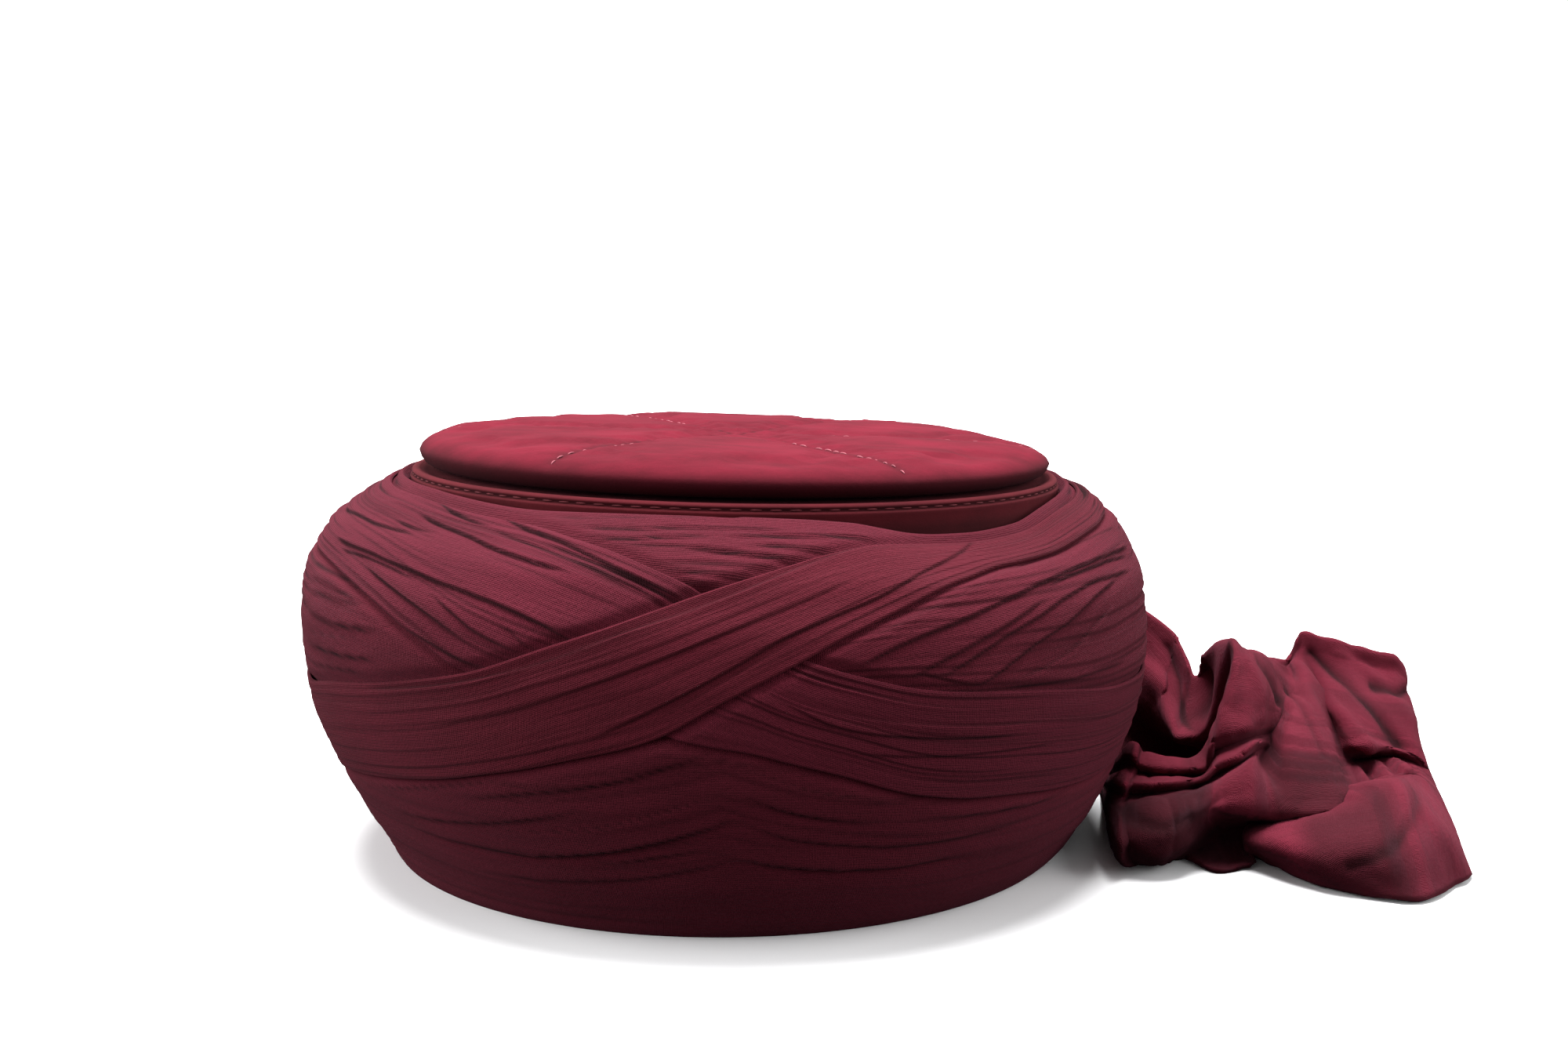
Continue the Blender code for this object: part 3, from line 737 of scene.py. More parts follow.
@dataclass
class RingForm:
    """Outer form of the wound ring, with one section for each azimuth."""

    stations: int = 640
    samples: int = 961
    azimuth: Array = field(init=False)
    length: Array = field(init=False)
    rim: Array = field(init=False)
    rim_s: Array = field(init=False)
    tables: dict[str, Array] = field(init=False)

    def __post_init__(self) -> None:
        """Lay out the sections."""
        self.azimuth = np.linspace(-180.0, 180.0, self.stations, endpoint=False)
        self.s = np.linspace(0.0, 1.0, self.samples)
        self.rim = RING_HEIGHT * around(RIM_SHARES, 1, self.azimuth)
        dips = MM * around(RIM_DIPS, 1, self.azimuth)
        parts = [self._section(rim, dip) for rim, dip in zip(self.rim, dips)]
        self.length = np.array([part[0] for part in parts])
        self.rim_s = np.array([part[1] for part in parts])
        radius = np.array([part[2] for part in parts])
        height = np.array([part[3] for part in parts])
        lean = np.array([part[4] for part in parts])
        level = np.array([part[5] for part in parts])
        along_r = np.gradient(radius, axis=1)
        along_z = np.gradient(height, axis=1)
        size = np.hypot(along_r, along_z)
        self.tables = {"radius": radius, "height": height, "lean": lean, "level": level,
                       "normal_r": -along_z / size, "normal_z": along_r / size}

    def _section(self, rim: float, dip: float) -> tuple[float, float, Array, Array, Array,
                                                        Array]:
        """Section of the ring from the lip to the base.

        Args:
            rim: height of the rim before it dips.
            dip: how far the rim dips.

        Returns:
            Its length, the rim's place on it, and its radius, height, lean and level.
        """
        level = np.array([row[0] for row in RING_SHARES])
        outer = level * rim - dip * ease((level - 0.80) / 0.20)
        seat = min(LIP_LEVEL * CAP_HEIGHT, 0.972 * outer[0])
        wall = float(wall_radius(seat))
        height = np.concatenate([[seat, 0.5 * (seat + outer[0])], outer])
        level = np.concatenate([[1.0, 1.0], level])
        radius = np.array([wall + SEAT_GAP, wall + 2.0 * SEAT_GAP]
                          + [CAP_RADIUS + row[1] * RING_DEPTH for row in RING_SHARES])
        lean = np.array([0.0, 0.0] + [-RING_LEAN * row[2] for row in RING_SHARES])
        length = np.concatenate([[0.0], np.cumsum(np.hypot(np.diff(radius),
                                                           np.diff(height)))])
        knots = length / length[-1]
        return (float(length[-1]), float(knots[2]), smooth(knots, radius, self.s),
                smooth(knots, height, self.s), smooth(knots, lean, self.s),
                smooth(knots, level, self.s))

    def at_level(self, level: Array) -> Array:
        """Places of levels on the sections.

        Args:
            level: one level, or one row of levels, for each azimuth.

        Returns:
            The places, 0 at the lip and 1 at the base, in the same shape.
        """
        out = np.empty_like(level, dtype=float)
        for i in range(self.stations):
            outer = self.s >= self.rim_s[i]
            share = self.tables["level"][i, outer]
            over = self.rim_s[i] * (1.0 - (level[i] - 1.0) / 0.05)
            out[i] = np.where(level[i] >= 1.0, over,
                              np.interp(-level[i], -share, self.s[outer]))
        return out

    def read(self, name: str, s: Array) -> Array:
        """Read one of the section tables at places on every section."""
        table = self.tables[name]
        at = np.clip(s, 0.0, 1.0) * (self.samples - 1)
        low = np.minimum(at.astype(int), self.samples - 2)
        part = at - low
        near = np.take_along_axis(table, low, 1)
        return near * (1.0 - part) + np.take_along_axis(table, low + 1, 1) * part

    def points(self, s: Array, lift: Array) -> Array:
        """Points at places on the sections, lifted along their normals.

        Args:
            s: places, one row for each azimuth.
            lift: lift in metres, in the same shape.

        Returns:
            The points, as stations by rows by three.
        """
        radius = self.read("radius", s) + lift * self.read("normal_r", s)
        height = self.read("height", s) + lift * self.read("normal_z", s)
        angle = np.radians(self.azimuth)[:, None]
        x = self.read("lean", s) + radius * np.sin(angle)
        return np.stack([x, -radius * np.cos(angle), np.maximum(height, 0.0)], axis=2)


@dataclass(frozen=True)
class FoldLine:
    """One fold, as a line round the ring at a distance down each section."""

    down: Array
    strength: Array
    depth: float
    lip: float
    reach: float
    lap: Lap = Lap.UPPER


@dataclass
class Folds:
    """The fold lines of one piece of cloth."""

    form: RingForm
    lines: list[FoldLine] = field(default_factory=list)

    def draw(self, points: Rows, depth: float, lip: float, reach: float, lap: Lap,
             upper: Array, lower: Array, fade: float = 3.0) -> None:
        """Add a fold along a drawn line.

        Args:
            points: azimuth and height in millimetres along the line.
            depth: depth of the fold's groove in millimetres.
            lip: rise of the cloth that laps over it, in millimetres.
            reach: how far the fold is felt on each side, in millimetres.
            lap: which side lies over the other.
            upper: places of the cloth's upper edge.
            lower: places of its lower edge.
            fade: degrees over which the line starts and ends.
        """
        form = self.form
        places = [point[0] for point in points]
        heights = [point[1] * MM for point in points]
        level = smooth(places, heights, form.azimuth) / form.rim
        s = form.at_level(level)
        share = (s - upper) / (lower - upper)
        inside = (form.azimuth >= places[0]) & (form.azimuth <= places[-1])
        held = np.interp(form.azimuth, form.azimuth[inside], share[inside])
        s = np.where(inside, s, upper + held * (lower - upper))
        start = ease((form.azimuth - places[0] + 0.6 * fade) / (1.7 * fade))
        end = ease((places[-1] + 0.6 * fade - form.azimuth) / (1.7 * fade))
        self.lines.append(FoldLine(s * form.length, start * end, depth * MM, lip * MM,
                                   reach * MM, lap))

    def scatter(self, count: int, seed: int, upper: Array, lower: Array, depth: float,
                lip: float, reach: float, span: tuple[float, float],
                quiet: Array | None = None) -> None:
        """Add folds that run along the cloth between its two edges.

        Args:
            count: how many lines there are from edge to edge.
            seed: names the pattern.
            upper: places of the upper edge.
            lower: places of the lower edge.
            depth: depth of the creases in millimetres.
            lip: rise of the laps in millimetres.
            reach: how far each is felt, in millimetres.
            span: shortest and longest run of a fold in degrees.
            quiet: share of the strength that is left at each azimuth.
        """
        form = self.form
        draw = np.random.default_rng(seed)
        quiet = np.ones(form.stations) if quiet is None else quiet
        for i in range(count):
            base = (i + 0.5 + 0.3 * draw.uniform(-1.0, 1.0)) / count
            sway = noise(form.azimuth / 360.0 * 14.0, float(7 * i), seed + 1, 14)
            sway += 0.35 * noise(form.azimuth / 360.0 * 45.0, float(3 * i), seed + 2, 45)
            share = np.clip(base + 0.26 * sway / count, 0.015, 0.985)
            s = upper + share * (lower - upper)
            strength = np.zeros(form.stations)
            for _ in range(5):
                centre, run = draw.uniform(-180.0, 180.0), draw.uniform(*span)
                off = np.abs((form.azimuth - centre + 180.0) % 360.0 - 180.0)
                strength = np.maximum(strength, ease((0.5 * run - off) / (0.28 * run)))
            scale = draw.uniform(0.55, 1.15)
            lap = Lap.UPPER if draw.uniform() < 0.7 else Lap.LOWER
            self.lines.append(FoldLine(s * form.length, strength * quiet * scale,
                                       depth * MM, lip * MM, reach * MM, lap))

    def read(self, s: Array) -> tuple[Array, Array]:
        """Lift and shade that the folds give the cloth.

        Args:
            s: places on the sections.

        Returns:
            The lift in metres, and the shade from 0 to 1.
        """
        y = s * self.form.length[:, None]
        lift = np.zeros_like(y)
        shade = np.zeros_like(y)
        for line in self.lines:
            off = y - line.down[:, None]
            if line.lap is Lap.LOWER:
                off = -off
            power = line.strength[:, None]
            over = line.lip * np.exp(np.minimum(off, 0.0) / line.reach)
            under = -line.depth * np.exp(-np.maximum(off, 0.0) / line.reach)
            if line.lap is Lap.NEITHER:
                over = -line.depth * np.exp(np.minimum(off, 0.0) / line.reach)
            turn = ease(0.5 + off / (0.6 * MM))
            lift += power * (over * (1.0 - turn) + under * turn)
            # Painted shade along each fold's groove.
            near = np.exp(-((off - 0.15 * MM) / (0.36 * MM)) ** 2)
            shade += power * near * min(1.6 * line.depth / MM, 1.0)
        return lift, np.clip(shade, 0.0, 1.0)


@dataclass
class MeshMaker:
    """Turns grids of points into pieces."""

    name: str
    node: str
    slot: str

    def make(self, points: Array, faces: Array, cloth: Array | None,
             painted_shade: Array | None, material: bpy.types.Material) -> bpy.types.Object:
        """Make a piece that stands for a node of the part.

        Args:
            points: vertices.
            faces: rows of four vertex numbers.
            cloth: coordinates in the cloth for each vertex, or None.
            painted_shade: painted shade of each vertex, or None.
            material: its finish.

        Returns:
            The new object.
        """
        mesh = bpy.data.meshes.new(self.name)
        faces = np.asarray(faces, dtype=np.int32)
        mesh.vertices.add(len(points))
        mesh.vertices.foreach_set("co", np.asarray(points, dtype=np.float32).ravel())
        mesh.loops.add(faces.size)
        mesh.loops.foreach_set("vertex_index", faces.ravel())
        mesh.polygons.add(len(faces))
        mesh.polygons.foreach_set("loop_start",
                                  np.arange(0, faces.size, faces.shape[1], dtype=np.int32))
        mesh.update(calc_edges=True)
        if cloth is not None:
            layer = mesh.uv_layers.new(name="cloth")
            layer.data.foreach_set("uv", np.asarray(cloth, np.float32)[faces.ravel()].ravel())
        if painted_shade is not None:
            shade = mesh.attributes.new("painted_shade", "FLOAT", "POINT")
            shade.data.foreach_set("value", np.asarray(painted_shade, np.float32).ravel())
        mesh.shade_smooth()
        mesh.validate()
        piece = bpy.data.objects.new(self.name, mesh)
        bpy.context.scene.collection.objects.link(piece)
        piece.data.materials.append(material)
        return piece

    def place(self, piece: bpy.types.Object) -> bpy.types.Object:
        """Put a piece in its node's stead, on the part's one body."""
        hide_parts(self.node)
        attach(piece, BODY)
        return piece


def loop_faces(stations: int, rows: int) -> Array:
    """Faces of a grid that closes round both ways.

    Args:
        stations: vertices round the ring.
        rows: vertices round the section.

    Returns:
        Rows of four vertex numbers, outward for a ring of points.
    """
    i, j = np.meshgrid(np.arange(stations), np.arange(rows), indexing="ij")
    right, down = (i + 1) % stations, (j + 1) % rows
    faces = np.stack([i * rows + j, i * rows + down, right * rows + down,
                      right * rows + j], axis=2)
    return faces.reshape(-1, 4)


@dataclass
class WoundTurn:
    """Broad turn of cotton that crosses over the ring."""

    name: str
    node: str
    slot: str
    levels: Rows
    above: tuple["WoundTurn", ...]
    finish: CottonFinish
    form: RingForm
    rows: int
    seed: int
    upper: Array = field(init=False)
    lower: Array = field(init=False)
    folds: Folds = field(init=False)

    def __post_init__(self) -> None:
        """Find the edges, which waver a little along the cloth."""
        form = self.form
        self.upper = form.at_level(around(self.levels, 1, form.azimuth))
        self.lower = form.at_level(around(self.levels, 2, form.azimuth))
        waver = noise(form.azimuth / 360.0 * 40.0, 0.5, self.seed, 40)
        self.upper += 0.0004 * waver / form.length
        self.lower += 0.0006 * np.roll(waver, 37) / form.length
        self.folds = Folds(form)

    def recess(self, s: Array) -> Array:
        """Depth that this turn presses into the cloth below it."""
        inside = np.minimum(s - self.upper[:, None], self.lower[:, None] - s)
        inside = inside * self.form.length[:, None]
        shallow = CLOTH_EDGE + CLOTH_GAP
        out = shallow * ease(1.0 + inside / CLOTH_RUN)
        deep = shallow + (CLOTH_THICKNESS - CLOTH_EDGE) * ease(inside / CLOTH_RUN)
        return np.where(inside < 0.0, out, deep)

    def outer_places(self) -> Array:
        """Places of the outer rows, close together at the two edges."""
        width = ((self.lower - self.upper) * self.form.length)[:, None]
        edge = np.array([0.0, 0.00012, 0.0003, 0.00055, 0.00085])
        share = np.linspace(0.0, 1.0, self.rows)[1:-1]
        inner = edge[-1] + (width - 2.0 * edge[-1]) * share
        ends = np.broadcast_to(edge, (len(width), len(edge)))
        y = np.concatenate([ends, inner, width - ends[:, ::-1]], axis=1)
        return self.upper[:, None] + y / self.form.length[:, None]

    def build(self) -> bpy.types.Object:
        """Build the turn.

        Returns:
            The piece, in its node's stead.
        """
        form = self.form
        s = self.outer_places()
        down = np.minimum(s - self.upper[:, None], self.lower[:, None] - s)
        down = down * form.length[:, None]
        corner = 0.85 * CLOTH_EDGE
        drop = corner * (1.0 - np.sqrt(1.0 - (1.0 - np.clip(down / corner, 0.0, 1.0)) ** 2))
        sunk, bare = cover(self.above, s)
        lift, shade = self.folds.read(s)
        lift = np.where(lift > 0.0, lift * bare, lift) * ease(down / (1.5 * MM))
        lift += 0.22 * MM * bare * self.swell(s) * ease(down / (3.0 * MM))
        own = self.recess(s)
        least = sunk - own + CLOTH_GAP + CLOTH_LEAST
        outer = np.maximum(sunk + lift, least) - drop
        inner_s = self.lower[:, None] + (self.upper - self.lower)[:, None] * \
            np.linspace(0.0, 1.0, 14)[None, :]
        inner_sunk, _ = cover(self.above, inner_s)
        inner = inner_sunk - (self.recess(inner_s) - CLOTH_GAP)
        outer[:, 0] = np.maximum(outer[:, 0], inner[:, -1] + 0.1 * MM)
        outer[:, -1] = np.maximum(outer[:, -1], inner[:, 0] + 0.1 * MM)
        every_s = np.concatenate([s, inner_s], axis=1)
        points = form.points(every_s, np.concatenate([outer, inner], axis=1))
        shade = np.concatenate([shade, np.zeros_like(inner)], axis=1)
        maker = MeshMaker(self.name, self.node, self.slot)
        run = np.radians(form.azimuth)[:, None] * RING_RADIUS
        cloth = np.stack([np.broadcast_to(run, every_s.shape),
                          (every_s - self.upper[:, None]) * form.length[:, None]], axis=2)
        piece = maker.make(points.reshape(-1, 3), loop_faces(*every_s.shape),
                           cloth.reshape(-1, 2), shade, self.finish.make())
        return maker.place(piece)

    def swell(self, s: Array) -> Array:
        """Broad unevenness of the laid cloth, between -1 and 1."""
        y = s * self.form.length[:, None]
        along = self.form.azimuth[:, None] / 360.0
        return (0.6 * noise(along * 18.0, y / 0.011, self.seed + 5, 18)
                + 0.4 * noise(along * 36.0, y / 0.005, self.seed + 6, 36))

    def cut(self) -> tuple[float, float]:
        """Width and length of the modelled cloth when it is laid flat."""
        width = float(np.mean((self.lower - self.upper) * self.form.length))
        return (round(width, 4), round(2.0 * math.pi * 0.97 * RING_RADIUS, 3))


def cover(above: tuple[WoundTurn, ...], s: Array) -> tuple[Array, Array]:
    """How far the turns above press the cloth in, and how bare it is.

    Args:
        above: the turns that lie over the cloth.
        s: places on the sections.

    Returns:
        The lift, which is never above 0, and the bare share from 0 to 1.
    """
    sunk = np.zeros_like(s)
    for turn in above:
        sunk -= turn.recess(s)
    return sunk, 1.0 - np.clip(-sunk / (CLOTH_EDGE + CLOTH_GAP), 0.0, 1.0)


def fold_level(level: Array, azimuth: Array) -> Array:
    """Level of a lower fold, which rises to a point at the front and back."""
    span = np.minimum(np.abs(azimuth - FRONT_POINT), np.abs(np.abs(azimuth) - 180.0))
    share = ease(level / 0.25) * ease((0.52 - level) / 0.20)
    return level + share * CHEVRON_RISE / RING_HEIGHT * np.exp(-span / CHEVRON_SPAN)


@dataclass
class WoundCore:
    """Thick ring of cotton wound round the cap, under the crossing turns."""

    form: RingForm
    above: tuple[WoundTurn, ...]
    finish: CottonFinish
    rows: int = 142
    seed: int = 40

    def build(self) -> bpy.types.Object:
        """Build the ring.

        Returns:
            The piece, in its node's stead.
        """
        form = self.form
        share = np.linspace(0.0, 1.0, self.rows)
        s = np.broadcast_to(share, (form.stations, self.rows)).copy()
        sunk, bare = cover(self.above, s)
        lift, shade = self.folds().read(s)
        ends = ease(s * form.length[:, None] / (4.0 * MM))
        ends = ends * ease((1.0 - s) * form.length[:, None] / (6.0 * MM))
        lift = np.where(lift > 0.0, lift * bare, lift) * ends
        lift += 0.32 * MM * bare * ends * self.swell(s)
        outer = sunk + lift
        outer_points = form.points(s, outer)
        angle = np.radians(form.azimuth)[:, None]
        seat = outer_points[:, 0, 2]
        inner_z = seat[:, None] * np.linspace(0.0, 0.93, 12)[None, :]
        radius = wall_radius(inner_z) + SEAT_GAP
        inner = np.stack([radius * np.sin(angle), -radius * np.cos(angle), inner_z], axis=2)
        points = np.concatenate([outer_points, inner], axis=1)
        rows = points.shape[1]
        shade = np.concatenate([shade, np.zeros_like(inner_z)], axis=1)
        down = np.concatenate([s * form.length[:, None],
                               form.length[:, None] + 0.02 + inner_z], axis=1)
        run = np.broadcast_to(angle * RING_RADIUS, down.shape)
        cloth = np.stack([run, down], axis=2)
        maker = MeshMaker("wound_core_cloth", "wound_core", "core_cotton")
        piece = maker.make(points.reshape(-1, 3), loop_faces(form.stations, rows),
                           cloth.reshape(-1, 2), shade, self.finish.make())
        return maker.place(piece)

    def swell(self, s: Array) -> Array:
        """Broad unevenness of the wound cloth, between -1 and 1."""
        y = s * self.form.length[:, None]
        along = self.form.azimuth[:, None] / 360.0
        return (0.6 * noise(along * 24.0, y / 0.012, self.seed + 5, 24)
                + 0.4 * noise(along * 60.0, y / 0.005, self.seed + 6, 60))

    def folds(self) -> Folds:
        """Fold lines of the ring: fine at the rim, broad in the lower half."""
        form = self.form
        folds = Folds(form)
        ones = np.ones(form.stations)
        lip, base = form.at_level(1.03 * ones), form.at_level(0.0 * ones)
        for points, depth, lap in NOTCH_FOLDS:
            folds.draw(points, 0.9 * depth, 0.45 * depth, 1.0, lap, lip, base)
        for points, depth, lap in LEFT_SIDE_FOLDS:
            folds.draw(points, 0.7 * depth, 0.35 * depth, 1.4, lap, lip, base)
        for points, depth, lap in LOWER_FOLDS:
            folds.draw(points, depth, 0.45 * depth, 2.6, lap, lip, base, 8.0)
        side = 1.0 - 0.85 * ease((75.0 - np.abs(form.azimuth)) / 15.0)
        draw = np.random.default_rng(self.seed)
        for i in range(46):
            level = 0.99 - 0.021 * i + 0.005 * draw.uniform(-1.0, 1.0)
            fine = level > 0.5
            sway = noise(form.azimuth / 360.0 * 12.0, float(5 * i), self.seed + 1, 12)
            line = fold_level(level + 0.006 * sway, form.azimuth)
            strength = np.zeros(form.stations)
            for _ in range(4 if fine else 3):
                centre, run = draw.uniform(-180.0, 180.0), draw.uniform(50.0, 130.0)
                off = np.abs((form.azimuth - centre + 180.0) % 360.0 - 180.0)
                strength = np.maximum(strength, ease((0.5 * run - off) / (0.3 * run)))
            strength *= side if fine else 0.30 + 0.7 * side
            depth = draw.uniform(0.35, 0.70) if fine else draw.uniform(0.20, 0.45)
            folds.lines.append(FoldLine(form.at_level(np.clip(line, 0.0, 1.04)) * form.length,
                                        strength, depth * MM, 0.5 * depth * MM,
                                        (1.5 if fine else 2.8) * MM, Lap.UPPER))
        return folds


# Fold lines that can be seen from the front: azimuth and height in millimetres along the line,
# depth of the fold's groove in millimetres, and which side laps over.
NOTCH_FOLDS = (
    (((-25.9, 103.4), (-18.7, 103.3), (-9.6, 103.2), (2.9, 102.8), (14.2, 101.8),
      (22.6, 101.2)), 0.35, Lap.LOWER),
    (((-20.3, 101.9), (-13.3, 101.1), (-6.9, 101.2), (0.6, 100.9),
      (8.1, 100.3)), 0.6, Lap.UPPER),
    (((-17.1, 99.8), (-12.6, 99.1), (-7.5, 99.5), (-2.4, 99.5)), 0.7, Lap.UPPER),
    (((0.7, 99.5), (8.0, 99.2), (13.4, 99.0), (20.5, 98.8)), 0.9, Lap.UPPER),
    (((3.8, 97.8), (8.9, 97.0), (14.7, 96.3)), 0.8, Lap.UPPER),
    (((-3.6, 97.1), (-0.0, 96.3), (3.9, 95.6), (7.8, 94.8), (11.0, 94.2)), 1.1, Lap.UPPER),
    (((-12.3, 98.0), (-7.1, 97.8), (-3.1, 97.2), (0.9, 97.0)), 0.4, Lap.UPPER),
    (((-7.5, 94.5), (-2.7, 94.1), (2.1, 93.5), (6.9, 93.1)), 0.5, Lap.UPPER),
    (((-5.5, 93.0), (-2.5, 92.1), (0.8, 91.7), (4.6, 91.1)), 1, Lap.UPPER),
    (((-4.3, 90.5), (-1.8, 89.9), (1.0, 89.7)), 0.7, Lap.UPPER),
)
LEFT_SIDE_FOLDS = (
    (((-66.6, 84.6), (-57.3, 84.6), (-51.7, 83.5), (-47.8, 82.0)), 0.9, Lap.UPPER),
    (((-65.6, 81.4), (-57.6, 81.5), (-51.8, 80.6), (-47.1, 79.7)), 0.7, Lap.UPPER),
    (((-63.7, 78.1), (-54.6, 78.6), (-48.2, 78.7)), 0.6, Lap.UPPER),
    (((-62.6, 72.7), (-54.8, 72.4), (-48.7, 73.1), (-43.4, 73.9)), 0.8, Lap.UPPER),
    (((-62.7, 67.3), (-54.7, 68.9), (-48.2, 70.4)), 0.4, Lap.LOWER),
    (((-63.4, 63.6), (-55.0, 64.7), (-49.3, 65.5), (-43.8, 66.7)), 1, Lap.UPPER),
    (((-63.4, 58.8), (-54.2, 60.9), (-46.7, 62.6)), 0.6, Lap.UPPER),
)
LOWER_FOLDS = (
    (((-43.2, 20.8), (-33.9, 20.8), (-26.3, 20.9), (-19.2, 22.5), (-12.7, 25.2),
      (-6.6, 28.6), (-0.9, 32.4), (2.2, 35.3)), 0.9, Lap.UPPER),
    (((-46.7, 25.0), (-37.7, 26.6), (-29.2, 29.0), (-21.8, 32.4),
      (-15.4, 36.0)), 0.5, Lap.UPPER),
    (((-30.2, 35.4), (-23.0, 38.8), (-15.9, 41.6), (-9.3, 45.1), (-4.0, 49.1),
      (0.4, 52.6)), 0.5, Lap.UPPER),
    (((-13.1, 21.6), (-6.9, 24.4), (-1.9, 26.7)), 0.7, Lap.UPPER),
    (((-25.9, 27.7), (-18.1, 29.8), (-10.9, 33.3), (-5.2, 37.3), (1.5, 42.3)), 0.35, Lap.LOWER),
    (((-33.4, 13.5), (-22.9, 14.5), (-11.6, 17.2), (-3.4, 20.9), (2.0, 24.1)), 0.4, Lap.UPPER),
    (((-50.1, 31.0), (-41.5, 34.1), (-33.5, 37.7), (-24.7, 42.1)), 0.4, Lap.UPPER),
    (((-42.9, 40.1), (-33.7, 44.2), (-26.5, 47.5)), 0.35, Lap.LOWER),
    (((4.6, 56.0), (7.0, 54.2), (9.5, 52.2), (13.0, 49.9), (16.2, 47.7)), 1.1, Lap.UPPER),
    (((4.5, 40.6), (8.0, 37.1), (12.6, 34.4), (17.8, 32.4)), 0.8, Lap.UPPER),
    (((19.9, 38.0), (24.9, 37.6), (31.5, 36.6), (41.1, 34.0)), 1.1, Lap.UPPER),
    (((4.5, 33.4), (9.0, 29.3), (15.7, 26.5), (24.0, 24.5), (33.3, 24.4),
      (42.9, 25.2)), 0.5, Lap.UPPER),
    (((3.8, 23.5), (7.1, 21.7), (12.0, 20.0), (18.1, 18.7), (24.6, 18.3),
      (31.7, 18.6)), 1, Lap.UPPER),
    (((25.5, 31.7), (32.3, 30.5), (40.4, 29.4), (48.7, 28.7)), 0.5, Lap.UPPER),
    (((4.4, 47.4), (8.8, 43.6), (14.2, 40.4), (20.8, 38.2)), 0.4, Lap.LOWER),
    (((28.5, 45.3), (35.4, 44.1), (43.6, 43.1), (52.3, 42.5)), 0.35, Lap.UPPER),
)
SASH_FOLDS = (
    (((-45.2, 58.6), (-32.3, 63.6), (-23.5, 68.2), (-16.0, 73.5), (-9.2, 79.3),
      (-2.6, 83.8), (2.5, 87.6), (7.8, 91.6), (15.0, 95.5),
      (22.5, 98.5)), 0.45, 2.2, Lap.LOWER),
    (((-32.9, 53.7), (-21.8, 60.2), (-12.3, 67.6), (-4.6, 74.0), (1.9, 79.5), (7.9, 83.9),
      (15.4, 89.5)), 0.22, 4, Lap.UPPER),
    (((-12.6, 55.2), (-4.7, 63.5), (2.2, 71.1), (8.0, 77.8), (13.3, 81.9), (19.1, 85.8),
      (26.4, 92.2), (38.4, 99.9)), 0.5, 2.6, Lap.UPPER),
    (((-5.6, 60.3), (-0.4, 65.9), (4.7, 71.9), (8.9, 76.9)), 0.22, 2.4, Lap.LOWER),
)
RIGHT_FOLDS = (
    (((16.6, 70.9), (20.5, 74.3), (24.4, 76.8), (28.7, 78.8), (33.6, 81.1), (39.1, 83.6),
      (45.5, 86.2), (53.6, 88.0), (64.6, 87.8), (72.2, 86.9)), 1, 1.8, Lap.UPPER),
    (((45.1, 84.6), (50.9, 86.5), (57.6, 86.7), (70.1, 85.3)), 0.9, 1.3, Lap.UPPER),
    (((22.8, 67.5), (25.3, 69.6), (28.4, 71.8), (32.9, 74.9), (38.0, 78.2),
      (42.7, 81.2)), 0.8, 1.8, Lap.UPPER),
    (((26.7, 67.1), (31.1, 70.6), (36.4, 74.8), (41.9, 77.9), (47.2, 80.7), (55.7, 82.7),
      (67.3, 82.0)), 0.9, 1.6, Lap.UPPER),
    (((31.0, 63.6), (33.6, 65.5), (37.4, 68.8), (41.5, 72.0), (46.2, 74.5), (50.8, 77.5),
      (54.8, 79.6), (61.5, 81.5)), 1.2, 1.6, Lap.UPPER),
    (((37.1, 63.4), (42.5, 65.7), (47.7, 68.3), (52.3, 72.0),
      (58.2, 75.7)), 0.6, 2.2, Lap.LOWER),
    (((35.9, 61.9), (40.9, 61.4), (46.8, 60.8), (52.7, 60.7),
      (59.8, 60.3)), 0.6, 1.4, Lap.UPPER),
    (((23.3, 68.5), (26.7, 66.4), (30.3, 64.3)), 0.6, 1.3, Lap.UPPER),
    (((17.7, 76.9), (22.7, 80.5), (29.4, 84.6), (38.4, 90.9)), 0.25, 3.2, Lap.LOWER),
    (((40.3, 92.1), (50.5, 94.7), (61.5, 93.7), (73.4, 92.5)), 0.35, 2.6, Lap.UPPER),
)
